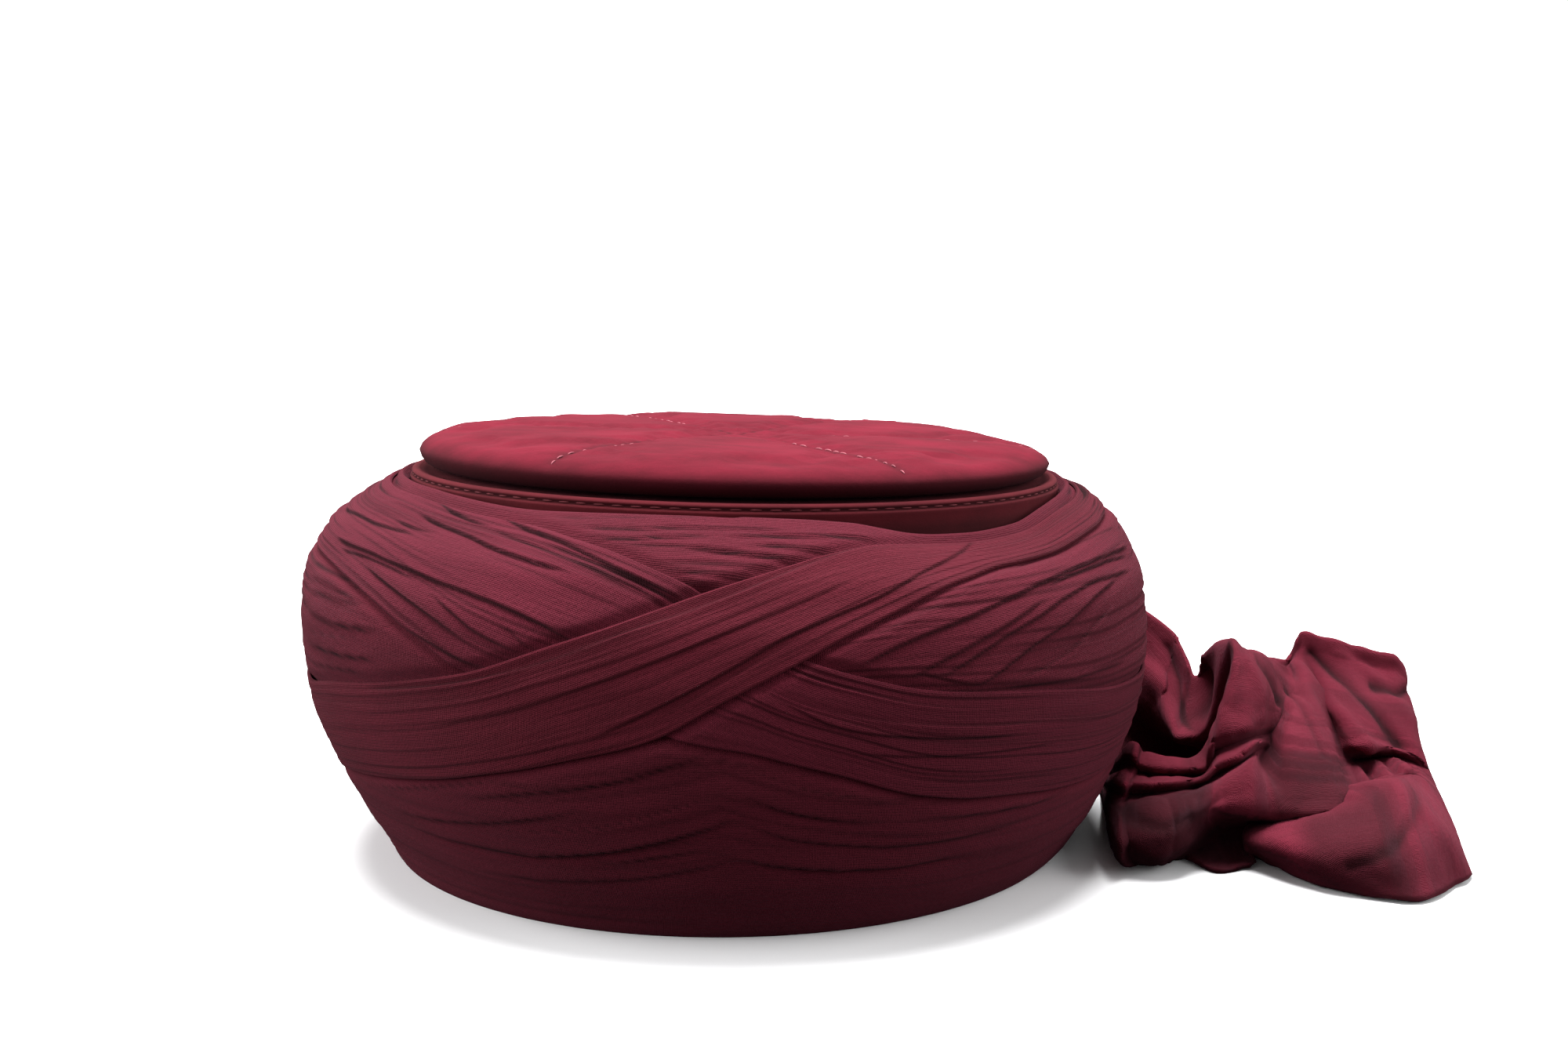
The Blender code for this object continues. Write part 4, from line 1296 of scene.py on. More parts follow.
LEFT_FOLDS = (
    (((-75.3, 108.8), (-62.0, 108.4), (-49.0, 105.8), (-42.9, 103.8), (-38.7, 102.6),
      (-34.8, 101.7)), 1, 1.5, Lap.UPPER),
    (((-40.8, 106.1), (-34.4, 104.0), (-30.3, 102.3), (-25.2, 100.2), (-20.8, 98.1),
      (-15.5, 94.9), (-10.8, 91.9), (-6.6, 89.0), (-3.5, 86.6)), 1.3, 1.6, Lap.UPPER),
    (((-23.0, 98.1), (-17.7, 95.4), (-13.0, 92.8), (-8.6, 89.8),
      (-4.9, 86.4)), 0.7, 0.9, Lap.UPPER),
    (((-18.4, 94.5), (-13.7, 92.0), (-9.4, 89.0), (-5.8, 85.7)), 0.55, 0.9, Lap.UPPER),
    (((-32.1, 100.6), (-25.1, 97.7), (-19.5, 94.8), (-14.7, 92.3),
      (-10.4, 89.2)), 0.45, 1.2, Lap.UPPER),
    (((-47.9, 102.3), (-43.2, 101.0), (-39.1, 99.9), (-35.6, 98.8), (-31.3, 96.9),
      (-26.7, 95.0), (-22.7, 93.5), (-18.6, 92.1)), 1.5, 1.9, Lap.UPPER),
    (((-77.3, 98.0), (-63.5, 98.9), (-55.9, 98.4), (-50.6, 98.1),
      (-46.3, 97.9)), 0.9, 1.4, Lap.UPPER),
    (((-51.6, 100.1), (-46.9, 99.3), (-42.8, 98.8)), 0.7, 1.2, Lap.UPPER),
    (((-62.5, 92.2), (-51.2, 91.4), (-44.8, 90.0), (-39.7, 88.7), (-35.0, 87.1),
      (-29.7, 85.3), (-24.8, 83.3), (-20.4, 80.8), (-17.1, 78.3),
      (-15.5, 76.9)), 1.1, 1.8, Lap.UPPER),
    (((-58.7, 90.1), (-52.5, 90.2), (-48.1, 89.6), (-44.2, 88.7),
      (-40.0, 87.3)), 0.7, 1.2, Lap.UPPER),
    (((-48.9, 87.6), (-44.4, 85.4), (-38.8, 82.4), (-34.3, 79.4),
      (-29.3, 75.4)), 0.7, 1.8, Lap.UPPER),
    (((-34.4, 83.5), (-30.8, 80.3), (-28.2, 77.7), (-25.2, 75.6),
      (-22.2, 73.6)), 0.8, 1.6, Lap.UPPER),
    (((-23.5, 78.7), (-21.9, 76.6), (-20.3, 74.2)), 0.9, 1.2, Lap.UPPER),
    (((-37.8, 75.7), (-34.8, 74.0), (-32.0, 72.1), (-28.8, 70.2),
      (-26.4, 68.9)), 0.7, 1.6, Lap.UPPER),
    (((13.0, 61.0), (17.4, 58.6), (24.0, 56.0), (32.4, 53.7),
      (41.1, 52.1)), 0.25, 2.6, Lap.LOWER),
    (((8.8, 62.5), (13.0, 57.9), (17.4, 55.2), (23.1, 53.2), (29.2, 51.5),
      (36.0, 50.3)), 0.45, 2, Lap.UPPER),
    (((16.6, 50.5), (24.2, 48.2), (32.8, 47.0), (43.2, 45.7)), 0.35, 2.4, Lap.UPPER),
)


@dataclass
class CapWall:
    """Thin upright wall of the cap: suede outside, lining inside."""

    stations: int = 240
    stitch_height: float = 0.1040
    # The wall's suede is darker than the crown's: a shaded copy that paints the shade under the
    # pad's edge.
    suede: SuedeFinish = SuedeFinish("wall_suede_finish", (0.082, 0.0068, 0.0112),
                                     (0.054, 0.0046, 0.0076))
    lining: CottonFinish = CottonFinish("lining_cotton_finish", (0.060, 0.010, 0.020),
                                        (0.040, 0.007, 0.014))

    def build(self) -> bpy.types.Object:
        """Build the wall.

        Returns:
            The piece, in its node's stead.
        """
        knots = np.linspace(0.0, 1.0, len(CAP_SHARES))
        at = np.linspace(0.0, 1.0, 90)
        share = smooth(knots, [row[0] for row in CAP_SHARES], at)
        level = smooth(knots, [row[1] for row in CAP_SHARES], at)
        outer_r, outer_z = CAP_RADIUS * share, CAP_HEIGHT * level
        inner_r = (CAP_RADIUS * share - CAP_WALL)[::-1]
        inner_z = np.minimum(outer_z, CAP_HEIGHT - CAP_WALL)[::-1]
        radius = np.concatenate([outer_r, inner_r])
        height = np.concatenate([outer_z, inner_z])
        azimuth = np.radians(np.linspace(-180.0, 180.0, self.stations, endpoint=False))
        puff = np.where(np.arange(len(radius)) < 90, self.roll(height), 0.0)
        ring = radius + puff
        x = ring[None, :] * np.sin(azimuth)[:, None]
        y = -ring[None, :] * np.cos(azimuth)[:, None]
        z = height[None, :] - crown_drop(x) * height[None, :] / CAP_HEIGHT
        points = np.stack([x, y, np.maximum(z, 0.0)], axis=2)
        shade = np.zeros_like(z)
        seam = self.stitch_height
        # Painted shade in the nip at the row of stitches and on the wall below it, down towards
        # the ring.
        shade += 0.8 * np.exp(-((height[None, :] - seam) / (0.5 * MM)) ** 2)
        shade += 0.7 * ease((seam - 2.0 * MM - height[None, :]) / (4.0 * MM))
        cloth = np.stack([np.broadcast_to(azimuth[:, None] * CAP_RADIUS, z.shape),
                          np.broadcast_to(height[None, :], z.shape)], axis=2)
        maker = MeshMaker("cap_wall_suede", "cap_wall", "wall_suede")
        faces = loop_faces(*z.shape)
        rows = z.shape[1]
        faces = faces[(faces[:, 0] % rows) != rows - 1]
        piece = maker.make(points.reshape(-1, 3), faces, cloth.reshape(-1, 2),
                           np.clip(shade, 0.0, 1.0), self.suede.make())
        close_poles(piece, self.stations, rows)
        piece.data.materials.append(self.lining.make())
        inside = [polygon.index for polygon in piece.data.polygons
                  if min(index % rows for index in polygon.vertices) >= 90]
        for index in inside:
            piece.data.polygons[index].material_index = 1
        return maker.place(piece)

    def roll(self, height: Array) -> Array:
        """Nip at the row of stitches, and the slight fall of the suede below it."""
        seam = self.stitch_height
        nip = -0.35 * MM * np.exp(-((height - seam) / (0.6 * MM)) ** 2)
        return nip - 0.25 * MM * ease((seam - 1.0 * MM - height) / (2.0 * MM))


def close_poles(piece: bpy.types.Object, stations: int, rows: int) -> None:
    """Close the first and last rings of a lofted piece with one face each.

    Args:
        piece: the lofted piece.
        stations: vertices in each ring.
        rows: rings in the piece.
    """
    work = bmesh.new()
    work.from_mesh(piece.data)
    work.verts.ensure_lookup_table()
    for row in (0, rows - 1):
        ring = [work.verts[i * rows + row] for i in range(stations)]
        work.faces.new(ring)
    bmesh.ops.recalc_face_normals(work, faces=work.faces)
    work.to_mesh(piece.data)
    work.free()
    piece.data.shade_smooth()


@dataclass
class CrownPad:
    """Padded round top of suede, quilted by seams that meet in the middle."""

    stations: int = 180
    top_rows: int = 62
    seam_depth: float = 0.0008
    finish: SuedeFinish = SuedeFinish("crown_suede_finish", (0.134, 0.0046, 0.0160),
                                      (0.076, 0.0024, 0.0088))
    frames: int = 14

    def seam_offset(self, x: Array, y: Array) -> Array:
        """Distance to the nearest seam."""
        angle = np.degrees(np.arctan2(x, -y))
        step = 360.0 / PAD_SEAMS
        off = np.radians((angle + step) % step - 0.5 * step)
        return np.hypot(x, y) * np.abs(np.sin(off))

    def height(self, share: Array, level: Array, azimuth: Array) -> Array:
        """Height of the pad's skin above its seat, before it is filled."""
        puff = around(PUFF_SHARES, 1, azimuth)
        puff = 1.0 + (puff - 1.0) * share
        return PAD_DEPTH * level * puff

    def build(self) -> bpy.types.Object:
        """Build the pad, fill it and close it.

        Returns:
            The piece, in its node's stead.
        """
        base = CAP_HEIGHT + SEAT_GAP
        shares = np.array([row[0] for row in PAD_SHARES])
        levels = np.array([row[1] for row in PAD_SHARES])
        steps = np.hypot(np.diff(shares) * PAD_RADIUS, np.diff(levels) * PAD_DEPTH)
        knots = np.concatenate([[0.0], np.cumsum(steps)])
        turn = knots[-4]
        at = np.concatenate([np.linspace(0.0, turn, self.top_rows),
                             np.linspace(turn, knots[-1], 9)[1:]])
        share = smooth(knots, shares, at)[None, :]
        level = smooth(knots, levels, at)[None, :]
        azimuth = np.linspace(-180.0, 180.0, self.stations, endpoint=False)
        angle = np.radians(azimuth)[:, None]
        x = PAD_RADIUS * share * np.sin(angle)
        y = -PAD_RADIUS * share * np.cos(angle)
        height = self.height(share, level, azimuth[:, None])
        off = self.seam_offset(x, y)
        top = ease((level - 0.30) / 0.7)
        groove = self.seam_depth * np.exp(-off / (3.5 * MM)) * top
        pucker = 0.14 * MM * np.cos(2.0 * math.pi * np.hypot(x, y) / (5.4 * MM))
        pucker = pucker * np.exp(-off / (3.0 * MM)) * top
        lumps = 0.45 * MM * noise(x / 0.021 + 20.0, y / 0.021 + 20.0, 3) * top
        lumps += 0.18 * MM * noise(x / 0.008 + 30.0, y / 0.008 + 30.0, 4) * top
        z = base + height - groove + pucker + lumps - crown_drop(x)
        points = np.stack([x, y, z], axis=2)
        # Painted shade: in the seam grooves on the top, and on the pad's side, darker the further
        # it turns under.
        shade = np.exp(-(off / (0.8 * MM)) ** 2) * top * 0.55
        under = 0.92 * ease((0.88 - level) / 0.60) + 0.08 * ease((0.16 - level) / 0.10)
        shade = np.maximum(shade, under * np.ones_like(x))
        maker = MeshMaker("crown_pad_suede", "crown_pad", "crown_suede")
        rows = x.shape[1]
        faces = loop_faces(*x.shape)
        faces = faces[(faces[:, 0] % rows) != rows - 1]
        piece = maker.make(points.reshape(-1, 3), faces, None, shade, self.finish.make())
        close_poles(piece, self.stations, rows)
        self.fill(piece, off.ravel(), np.broadcast_to(level, x.shape).ravel())
        return maker.place(piece)

    def fill(self, piece: bpy.types.Object, off: Array, level: Array) -> None:
        """Fill the pad by a cloth simulation with pressure, held at its seams.

        Args:
            piece: the pad.
            off: distance of each vertex to the nearest seam.
            level: level of each vertex on the pad's side.
        """
        before = read_points(piece)
        hold = np.exp(-(off / (2.2 * MM)) ** 2)
        hold = np.where(level < 0.22, 1.0, np.clip(hold, 0.0, 1.0))
        group = piece.vertex_groups.new(name="held")
        for value in np.unique(np.round(hold, 1)):
            if value > 0.0:
                chosen = np.nonzero(np.round(hold, 1) == value)[0]
                group.add([int(index) for index in chosen], float(value), "REPLACE")
        cloth = piece.modifiers.new("fill", "CLOTH")
        cloth.settings.vertex_group_mass = "held"
        cloth.settings.quality = 6
        cloth.settings.mass = 0.25
        cloth.settings.use_pressure = True
        cloth.settings.uniform_pressure_force = 3.0
        cloth.settings.tension_stiffness = 18.0
        cloth.settings.compression_stiffness = 18.0
        cloth.settings.bending_stiffness = 1.2
        cloth.settings.shrink_min = -0.02
        cloth.settings.effector_weights.gravity = 0.0
        cloth.collision_settings.use_collision = False
        cloth.point_cache.frame_start = 1
        cloth.point_cache.frame_end = self.frames
        scene = bpy.context.scene
        for frame_number in range(1, self.frames + 1):
            scene.frame_set(frame_number)
        graph = bpy.context.evaluated_depsgraph_get()
        after = read_points(piece.evaluated_get(graph))
        piece.modifiers.clear()
        piece.vertex_groups.clear()
        scene.frame_set(1)
        move = after - before
        far = np.linalg.norm(move, axis=1)
        move *= np.minimum(1.0, 0.6 * MM / np.maximum(far, 1e-9))[:, None]
        move *= ease((level - 0.78) / 0.20)[:, None]
        piece.data.vertices.foreach_set("co", (before + move).astype(np.float32).ravel())
        piece.data.update()
        log.info("crown pad filled, largest move %.2f mm", float(far.max()) / MM)


def read_points(piece: bpy.types.Object) -> Array:
    """Vertices of a piece as rows of three."""
    points = np.empty(3 * len(piece.data.vertices), dtype=np.float32)
    piece.data.vertices.foreach_get("co", points)
    return points.reshape(-1, 3).astype(float)


@dataclass
class Stitches:
    """Rows of short thread stitches."""

    name: str
    finish: ThreadFinish
    length: float = 2.6 * MM
    pitch: float = 5.0 * MM
    radius: float = 0.19 * MM
    sides: int = 6
    rings: int = 7
    points: list[Array] = field(default_factory=list)
    faces: list[Array] = field(default_factory=list)

    def sew(self, start: Array, end: Array, out: Array) -> None:
        """Add one stitch.

        Args:
            start: where the thread comes up.
            end: where it goes down.
            out: direction away from the cloth.
        """
        along = end - start
        size = np.linalg.norm(along)
        along = along / size
        side = np.cross(out, along)
        side = side / np.linalg.norm(side)
        out = np.cross(along, side)
        first = sum(len(part) for part in self.points)
        t = np.linspace(0.0, 1.0, self.rings)
        rise = self.radius * (1.1 * np.sin(math.pi * t) ** 0.6 - 0.6)
        girth = self.radius * (0.45 + 0.55 * np.sin(math.pi * t) ** 0.5)
        turn = np.linspace(0.0, 2.0 * math.pi, self.sides, endpoint=False)
        rings = []
        for share, high, thick in zip(t, rise, girth):
            centre = start + along * size * share + out * high
            rings.append(centre + thick * (np.outer(np.cos(turn), side)
                                           + np.outer(np.sin(turn), out)))
        self.points.append(np.concatenate(rings))
        for ring in range(self.rings - 1):
            for k in range(self.sides):
                near, far = first + ring * self.sides, first + (ring + 1) * self.sides
                after = (k + 1) % self.sides
                self.faces.append(np.array([near + k, near + after, far + after, far + k]))
        last = first + (self.rings - 1) * self.sides
        for low in (first, last):
            order = range(self.sides) if low == last else range(self.sides - 1, -1, -1)
            ring = [low + k for k in order]
            self.faces.append(np.array([ring[0], ring[1], ring[2], ring[3]]))
            self.faces.append(np.array([ring[0], ring[3], ring[4], ring[5]]))

    def build(self, slot: str) -> bpy.types.Object:
        """Build every stitch that was sewn as one piece.

        Args:
            slot: name of the material slot meant for the thread; it is passed on but not used.

        Returns:
            The piece.
        """
        maker = MeshMaker(self.name, "", slot)
        piece = maker.make(np.concatenate(self.points), np.array(self.faces), None, None,
                           self.finish.make())
        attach(piece, BODY)
        return piece


@dataclass
class LooseEnd:
    """Loose end of the cloth, off the ring's back and heaped at its right."""

    form: RingForm
    finish: CottonFinish
    across_rows: int = 176
    down_rows: int = 190

    def cage(self) -> Array:
        """Cage of the cloth: columns from the ring outwards, rows from back to front."""
        start = int(np.argmin(np.abs(self.form.azimuth - TAIL_AZIMUTH)))
        shown = np.array([points for _, points in TAIL_CAGE]) * MM
        rows = shown.shape[1] + 2
        share = np.linspace(0.0, 1.0, rows)
        level = np.interp(np.arange(rows), (0.0, 1.0, 2.0, rows - 1.0), (0.60, 0.72, 0.80, 0.38))
        level = np.broadcast_to(level, (self.form.stations, rows)).copy()
        s = self.form.at_level(level)
        lift = np.full_like(s, 1.4 * SEAT_GAP + 1.0 * MM)
        root = self.form.points(s, lift)[start]
        high = np.interp(np.arange(rows), (0, 1, 2, 3, 5, 6, 7, 8, rows - 1),
                         (1.0, 32.0, 60.0, 56.0, 42.0, 22.0, 8.0, 3.0, 1.5))
        strip = np.stack([117.0 - 5.0 * share, 72.0 - 22.0 * share, high], axis=1) * MM
        back = shown[:, :1] * np.array([1.0, 1.0, 0.48]) + np.array([0.0, 11.0, 0.0]) * MM
        ground = shown[:, :1] * np.array([1.0, 1.0, 0.0]) + np.array([0.0, 18.0, 0.9]) * MM
        heap = np.concatenate([ground, back, shown], axis=1)
        end = heap[-1] * np.array([1.0, 1.0, 0.38]) + np.array([1.5, 9.0, 0.5]) * MM
        return np.concatenate([root[None], strip[None], heap, end[None]])

    def build(self) -> bpy.types.Object:
        """Build the loose end.

        Returns:
            The piece, in its node's stead.
        """
        cage = self.cage()
        u = np.linspace(0.0, cage.shape[0] - 1.0, self.across_rows)
        v = np.linspace(0.0, cage.shape[1] - 1.0, self.down_rows)
        skin = spline(spline(cage, u), v, 1)
        move, cut = self.ribs(skin, u, v)
        skin = skin + move
        skin = skin + self.wrinkles(skin)
        skin[:, :, 2] = np.maximum(skin[:, :, 2], 0.55 * TAIL_CLOTH)
        points, faces, cloth = thicken(skin, TAIL_CLOTH)
        # Painted shade: in the heap's valleys and pocket, over the listed patches, and in the
        # grooves of the sunken drawn folds.
        shade = np.clip(0.8 * self.hollow(skin, u, v) + cut, 0.0, 1.0)
        shade = np.tile(shade.ravel(), 2)
        maker = MeshMaker("tail_cloth_folds", "tail_cloth", "tail_cotton")
        piece = maker.make(points, faces, cloth, shade, self.finish.make())
        return maker.place(piece)

    def ribs(self, skin: Array, u: Array, v: Array) -> tuple[Array, Array]:
        """Drawn folds of the heap: moves along the skin's normals, and shade."""
        normal = grid_normals(skin)
        row = np.broadcast_to(v[None, :], skin.shape[:2])
        amount = np.zeros(skin.shape[:2])
        shade = np.zeros(skin.shape[:2])
        front = skin[:, :, [0, 2]]
        for points, height, width, first, last in TAIL_RIBS:
            path = np.array(points) * MM
            near = np.full(skin.shape[:2], 1.0)
            for a, b in zip(path[:-1], path[1:]):
                along = np.clip(((front - a) @ (b - a)) / ((b - a) @ (b - a)), 0.0, 1.0)
                gap = front - a - along[:, :, None] * (b - a)
                near = np.minimum(near, np.hypot(gap[:, :, 0], gap[:, :, 1]))
            mask = ease((row - first) / 0.6) * ease((last - row) / 0.6)
            bump = mask * np.exp(-(near / (width * MM)) ** 2)
            amount += height * MM * bump
            shade += 0.6 * max(-height, 0.0) * bump
        low, high = PLEAT_COLUMNS
        column = np.broadcast_to(u[:, None], skin.shape[:2])
        mask = ease((column - low) / 0.5) * ease((high - column) / 0.5)
        mask = mask * ease((row - PLEAT_ROWS[0]) / 0.8) * ease((PLEAT_ROWS[1] - row) / 1.0)
        amount += 1.3 * MM * mask * np.cos(2.0 * math.pi * skin[:, :, 0] / (6.2 * MM))
        return normal * self.outward(normal)[:, :, None] * amount[:, :, None], shade

    def hollow(self, skin: Array, u: Array, v: Array) -> Array:
        """Shade in the valleys of the heap and deep in its pocket, from 0 to 1."""
        wide = skin
        for axis in (0, 1):
            ends = [(9, 9) if k == axis else (0, 0) for k in range(3)]
            total = np.cumsum(np.pad(wide, ends, mode="edge"), axis=axis)
            high = np.take(total, range(18, total.shape[axis]), axis=axis)
            low = np.take(total, range(0, total.shape[axis] - 18), axis=axis)
            wide = (high - low) / 18.0
        normal = grid_normals(skin)
        normal = normal * self.outward(normal)[:, :, None]
        depth = ((wide - skin) * normal).sum(axis=2)
        pocket = ease((u[:, None] - 1.2) / 0.8) * ease((6.8 - u[:, None]) / 0.8)
        pocket = pocket * ease((v[None, :] - 5.2) / 0.8) * ease((9.0 - v[None, :]) / 0.6)
        total = ease((depth - 0.2 * MM) / (2.2 * MM)) + 0.95 * pocket
        for left, right, top, foot, power in TAIL_SHADES:
            spot = ease((u[:, None] - left) / 1.0) * ease((right - u[:, None]) / 1.0)
            spot = spot * ease((v[None, :] - top) / 1.2) * ease((foot - v[None, :]) / 1.2)
            total = total + power * spot
        return np.clip(total, 0.0, 1.0)

    def outward(self, normal: Array) -> Array:
        """Sign that turns each normal up or towards the front."""
        return np.where(normal[:, :, 2] - normal[:, :, 1] < 0.0, -1.0, 1.0)

    def wrinkles(self, skin: Array) -> Array:
        """Small folds across the heap, as moves along the skin's normals."""
        across = skin[:, :, 0] / MM
        down = (skin[:, :, 2] - 0.6 * skin[:, :, 1]) / MM + 200.0
        warp = noise(across / 14.0, down / 14.0, 11)
        ridge = 1.0 - 2.0 * np.abs(noise(across / 8.0 + warp, down / 9.0 - warp, 12))
        fine = 1.0 - 2.0 * np.abs(noise(across / 3.6 + warp, down / 3.2, 13))
        amount = 0.38 * MM * ridge + 0.16 * MM * fine
        return grid_normals(skin) * amount[:, :, None]


def spline(points: Array, at: Array, axis: int = 0) -> Array:
    """Smooth curve through rows of points.

    Args:
        points: grid of points.
        at: places along the axis, in rows.
        axis: axis to read along.

    Returns:
        The grid, read at those places.
    """
    points = np.moveaxis(points, axis, 0)
    padded = np.concatenate([2.0 * points[:1] - points[1:2], points,
                             2.0 * points[-1:] - points[-2:-1]])
    cell = np.clip(np.floor(at).astype(int), 0, len(points) - 2)
    t = (at - cell).reshape((-1,) + (1,) * (points.ndim - 1))
    p0, p1, p2, p3 = (padded[cell + k] for k in range(4))
    out = 0.5 * (2.0 * p1 + (p2 - p0) * t + (2.0 * p0 - 5.0 * p1 + 4.0 * p2 - p3) * t ** 2
                 + (3.0 * p1 - p0 - 3.0 * p2 + p3) * t ** 3)
    return np.moveaxis(out, 0, axis)


def grid_normals(skin: Array) -> Array:
    """Unit normals of a grid of points."""
    normal = np.cross(np.gradient(skin, axis=0), np.gradient(skin, axis=1))
    size = np.linalg.norm(normal, axis=2, keepdims=True)
    return normal / np.maximum(size, 1e-12)


def thicken(skin: Array, thickness: float) -> tuple[Array, Array, Array]:
    """Give a grid of points two sides and a rim.

    Args:
        skin: grid of points.
        thickness: distance between the two sides.

    Returns:
        Vertices, faces of four, and cloth coordinates.
    """
    rows, columns = skin.shape[:2]
    half = 0.5 * thickness * grid_normals(skin)
    points = np.concatenate([(skin + half).reshape(-1, 3), (skin - half).reshape(-1, 3)])
    i, j = np.meshgrid(np.arange(rows - 1), np.arange(columns - 1), indexing="ij")
    top = np.stack([i * columns + j, (i + 1) * columns + j, (i + 1) * columns + j + 1,
                    i * columns + j + 1], axis=2).reshape(-1, 4)
    under = top[:, ::-1] + rows * columns
    border = ([j for j in range(columns)]
              + [k * columns + columns - 1 for k in range(1, rows)]
              + [(rows - 1) * columns + j for j in range(columns - 2, -1, -1)]
              + [k * columns for k in range(rows - 2, 0, -1)])
    border = np.array(border)
    after = np.roll(border, -1)
    rim = np.stack([border, after, after + rows * columns, border + rows * columns], axis=1)
    down = np.cumsum(np.linalg.norm(np.diff(skin, axis=1, prepend=skin[:, :1]), axis=2), 1)
    along = np.cumsum(np.linalg.norm(np.diff(skin, axis=0, prepend=skin[:1]), axis=2), 0)
    cloth = np.stack([along, down], axis=2).reshape(-1, 2)
    return points, np.concatenate([top, under, rim]), np.concatenate([cloth, cloth])


@dataclass
class Studio:
    """Plain pale floor, soft light and the camera."""

    camera_place: tuple[float, float, float] = (0.0139, -0.5, 0.1542)
    pitch_down: float = 7.44
    lens: float = 39.64
    sun: float = 8.8
    fill: float = 0.42
    bounce: float = 0.036

    def build(self) -> None:
        """Build the floor, the light and the camera."""
        self.floor()
        self.lights()
        self.camera()

    def floor(self) -> None:
        """Lay the floor."""
        mesh = bpy.data.meshes.new("floor")
        half = 12.0
        mesh.from_pydata([(-half, -half, 0.0), (half, -half, 0.0), (half, half, 0.0),
                          (-half, half, 0.0)], [], [(0, 1, 2, 3)])
        floor = bpy.data.objects.new("floor", mesh)
        bpy.context.scene.collection.objects.link(floor)
        kit = NodeKit("floor_finish")
        kit.set("Roughness", 1.0)
        kit.set("Specular IOR Level", 0.0)
        ray = kit.node("ShaderNodeLightPath").outputs["Is Camera Ray"]
        tone = kit.ramp(ray, ((0.0, (self.bounce,) * 3), (1.0, (0.95, 0.95, 0.96))))
        kit.join(tone, "Base Color")
        mesh.materials.append(kit.material)

    def lights(self) -> None:
        """Hang a broad sun, a weaker sun on each side and a pale world."""
        for name, strength, spread, turn in (
                ("key_sun", self.sun, 38.0, (-11.0, -3.0, 0.0)),
                ("left_sun", 0.48 * self.sun, 60.0, (70.0, 0.0, -86.0)),
                ("right_sun", 0.30 * self.sun, 60.0, (68.0, 0.0, 84.0))):
            data = bpy.data.lights.new(name, "SUN")
            data.energy = strength
            data.angle = math.radians(spread)
            light = bpy.data.objects.new(name, data)
            light.rotation_euler = tuple(math.radians(part) for part in turn)
            bpy.context.scene.collection.objects.link(light)
        world = bpy.data.worlds.new("pale_world")
        world.use_nodes = True
        tree = world.node_tree
        sky = tree.nodes["Background"]
        sky.inputs["Color"].default_value = (1.0, 1.0, 1.0, 1.0)
        sky.inputs["Strength"].default_value = self.fill
        seen = tree.nodes.new("ShaderNodeBackground")
        seen.inputs["Color"].default_value = (1.0, 1.0, 1.0, 1.0)
        seen.inputs["Strength"].default_value = 1.05
        ray = tree.nodes.new("ShaderNodeLightPath")
        mix = tree.nodes.new("ShaderNodeMixShader")
        tree.links.new(ray.outputs["Is Camera Ray"], mix.inputs[0])
        tree.links.new(sky.outputs[0], mix.inputs[1])
        tree.links.new(seen.outputs[0], mix.inputs[2])
        tree.links.new(mix.outputs[0], tree.nodes["World Output"].inputs["Surface"])
        bpy.context.scene.world = world
        bpy.context.scene.view_settings.view_transform = "Standard"

    def camera(self) -> None:
        """Set the camera at the fitted place."""
        data = bpy.data.cameras.new("camera")
        data.lens = self.lens
        data.sensor_width = 36.0
        data.sensor_fit = "HORIZONTAL"
        data.clip_start = 0.01
        camera = bpy.data.objects.new("camera", data)
        camera.location = self.camera_place
        camera.rotation_euler = (math.radians(90.0 - self.pitch_down), 0.0, 0.0)
        bpy.context.scene.collection.objects.link(camera)
        bpy.context.scene.camera = camera


def report(piece: bpy.types.Object) -> bpy.types.Object:
    """Log a piece's name and its count of triangles."""
    piece.data.calc_loop_triangles()
    log.info("%s: %d triangles", piece.name, len(piece.data.loop_triangles))
    return piece


def cotton(name: str, redness: float, light: float) -> CottonFinish:
    """Burgundy cotton, set lighter or darker for each piece of the one cloth to paint light and
    shade.

    Args:
        name: name of the finish.
        redness: how warm it is, about 1.
        light: how light it is, about 1; this paints light or shade on the piece.

    Returns:
        The finish.
    """
    colour = (0.104 * light * redness, 0.0086 * light, 0.0196 * light / redness)
    dark = tuple(0.72 * part for part in colour)
    return CottonFinish(name, colour, dark)


def make_turns(form: RingForm) -> tuple[WoundTurn, WoundTurn, WoundTurn]:
    """Make the three crossing turns, with their folds drawn.

    Args:
        form: the ring's outer form.

    Returns:
        The sash, the left turn and the right turn.
    """
    # Each piece's cotton is set a little lighter or darker: lit and shaded copies of the one
    # cloth, painting how the light falls on it.
    sash = WoundTurn("front_sash_cloth", "front_sash", "sash_cotton", SASH_LEVELS, (),
                     cotton("sash_cotton_finish", 1.03, 0.95), form, 70, 100)
    left = WoundTurn("left_high_turn_cloth", "left_high_turn", "left_cotton",
                     LEFT_HIGH_LEVELS, (sash,), cotton("left_cotton_finish", 0.98, 1.05),
                     form, 92, 200)
    right = WoundTurn("right_high_turn_cloth", "right_high_turn", "right_cotton",
                      RIGHT_HIGH_LEVELS, (sash, left),
                      cotton("right_cotton_finish", 1.0, 1.0), form, 106, 300)
    front = ease((84.0 - np.abs(form.azimuth)) / 14.0)
    for turn, drawn, count, bare in ((sash, SASH_FOLDS, 6, 0.55), (left, LEFT_FOLDS, 10, 0.35),
                                     (right, RIGHT_FOLDS, 11, 0.35)):
        for points, depth, reach, lap in drawn:
            firm = 0.66 * depth ** 0.7
            turn.folds.draw(points, firm, 0.5 * firm, reach, lap, turn.upper, turn.lower)
        turn.folds.scatter(count, turn.seed, turn.upper, turn.lower, 0.85, 0.40, 2.0,
                           (40.0, 110.0), 1.0 - 0.93 * front)
        turn.folds.scatter(3 * count, turn.seed + 50, turn.upper, turn.lower, 0.42, 0.20,
                           0.9, (25.0, 80.0), 1.0 - bare * front)
    return sash, left, right


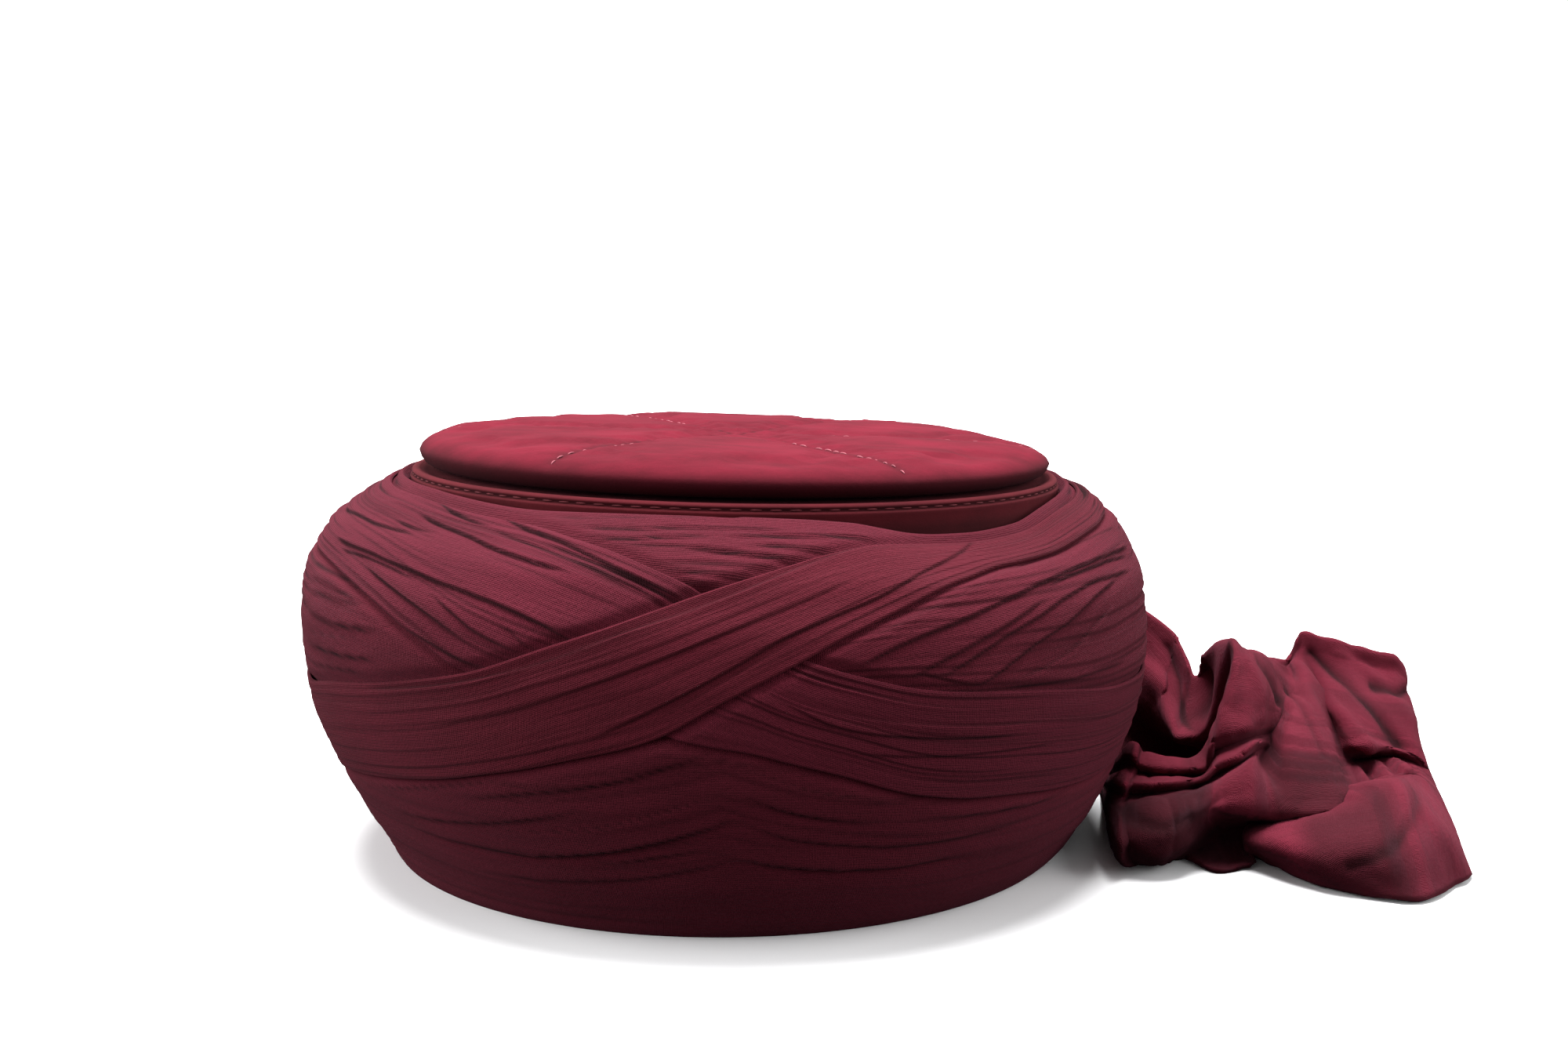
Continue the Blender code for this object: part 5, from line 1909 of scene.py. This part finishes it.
def make_crown_stitches(pad: CrownPad) -> bpy.types.Object:
    """Sew the stitches along the crown's seams.

    Args:
        pad: the crown pad.

    Returns:
        The piece.
    """
    thread = Stitches("crown_stitches", ThreadFinish("pale_thread_finish",
                                                      (0.40, 0.115, 0.145)))
    draw = np.random.default_rng(17)
    base = CAP_HEIGHT + SEAT_GAP
    reach = [row[0] for row in PAD_SHARES[:9]]
    level = [row[1] for row in PAD_SHARES[:9]]
    for seam in range(PAD_SEAMS):
        azimuth = -150.0 + seam * 360.0 / PAD_SEAMS
        angle = math.radians(azimuth)
        along = np.array([math.sin(angle), -math.cos(angle), 0.0])
        radius = (20.0 + draw.uniform(0.0, 14.0)) * MM
        while radius < 0.955 * PAD_RADIUS:
            ends = []
            shift = draw.uniform(-0.5, 0.5) * MM
            for at in (radius, radius + thread.length * draw.uniform(0.6, 1.25)):
                share = at / PAD_RADIUS
                high = float(smooth(reach, level, share))
                x, y = at * along[0] + shift * along[1], at * along[1] - shift * along[0]
                z = base + float(pad.height(np.array(share), np.array(high),
                                            np.array(azimuth)))
                z -= pad.seam_depth * float(ease(np.array((high - 0.30) / 0.7)))
                ends.append(np.array([x, y, z - crown_drop(x) + 0.25 * MM]))
            if draw.uniform() < 0.72:
                thread.sew(ends[0], ends[1], np.array([0.0, 0.0, 1.0]))
            radius += thread.pitch * draw.uniform(0.7, 1.0)
    return thread.build("crown_suede")


def make_wall_stitches(wall: CapWall) -> bpy.types.Object:
    """Sew the row of stitches round the cap's wall.

    Args:
        wall: the cap's wall.

    Returns:
        The piece.
    """
    thread = Stitches("wall_stitches", ThreadFinish("red_thread_finish", (0.14, 0.022, 0.029)),
                      length=3.0 * MM, pitch=4.8 * MM)
    height = wall.stitch_height
    radius = float(wall_radius(height)) + float(wall.roll(np.array(height))) + 0.05 * MM
    count = int(2.0 * math.pi * radius / thread.pitch)
    for k in range(count):
        ends = []
        middle = 2.0 * math.pi * (k + 0.5) / count
        for angle in (middle - 0.5 * thread.length / radius,
                      middle + 0.5 * thread.length / radius):
            x = radius * math.sin(angle)
            fall = float(crown_drop(np.array(x))) * height / CAP_HEIGHT
            ends.append(np.array([x, -radius * math.cos(angle), height - fall]))
        thread.sew(ends[0], ends[1], np.array([math.sin(middle), -math.cos(middle), 0.0]))
    return thread.build("wall_suede")


def main() -> None:
    """Build every piece in order and report it."""
    logging.basicConfig(level=logging.INFO, format="%(name)s %(message)s")
    Studio().build()
    form = RingForm()
    wall = CapWall()
    report(wall.build())
    pad = CrownPad()
    report(pad.build())
    report(make_crown_stitches(pad))
    report(make_wall_stitches(wall))
    sash, left, right = make_turns(form)
    core = report(WoundCore(form, (sash, left, right),
                            cotton("core_cotton_finish", 1.0, 0.97)).build())
    for turn in (right, left, sash):
        piece = report(turn.build())
        turn.cut()
    # The loose end's cotton is set lighter than the ring's, which paints the highlights on its
    # hood and back panel.
    tail = report(LooseEnd(form, cotton("tail_cotton_finish", 1.0, 1.35)).build())


if __name__ == "__main__":
    main()
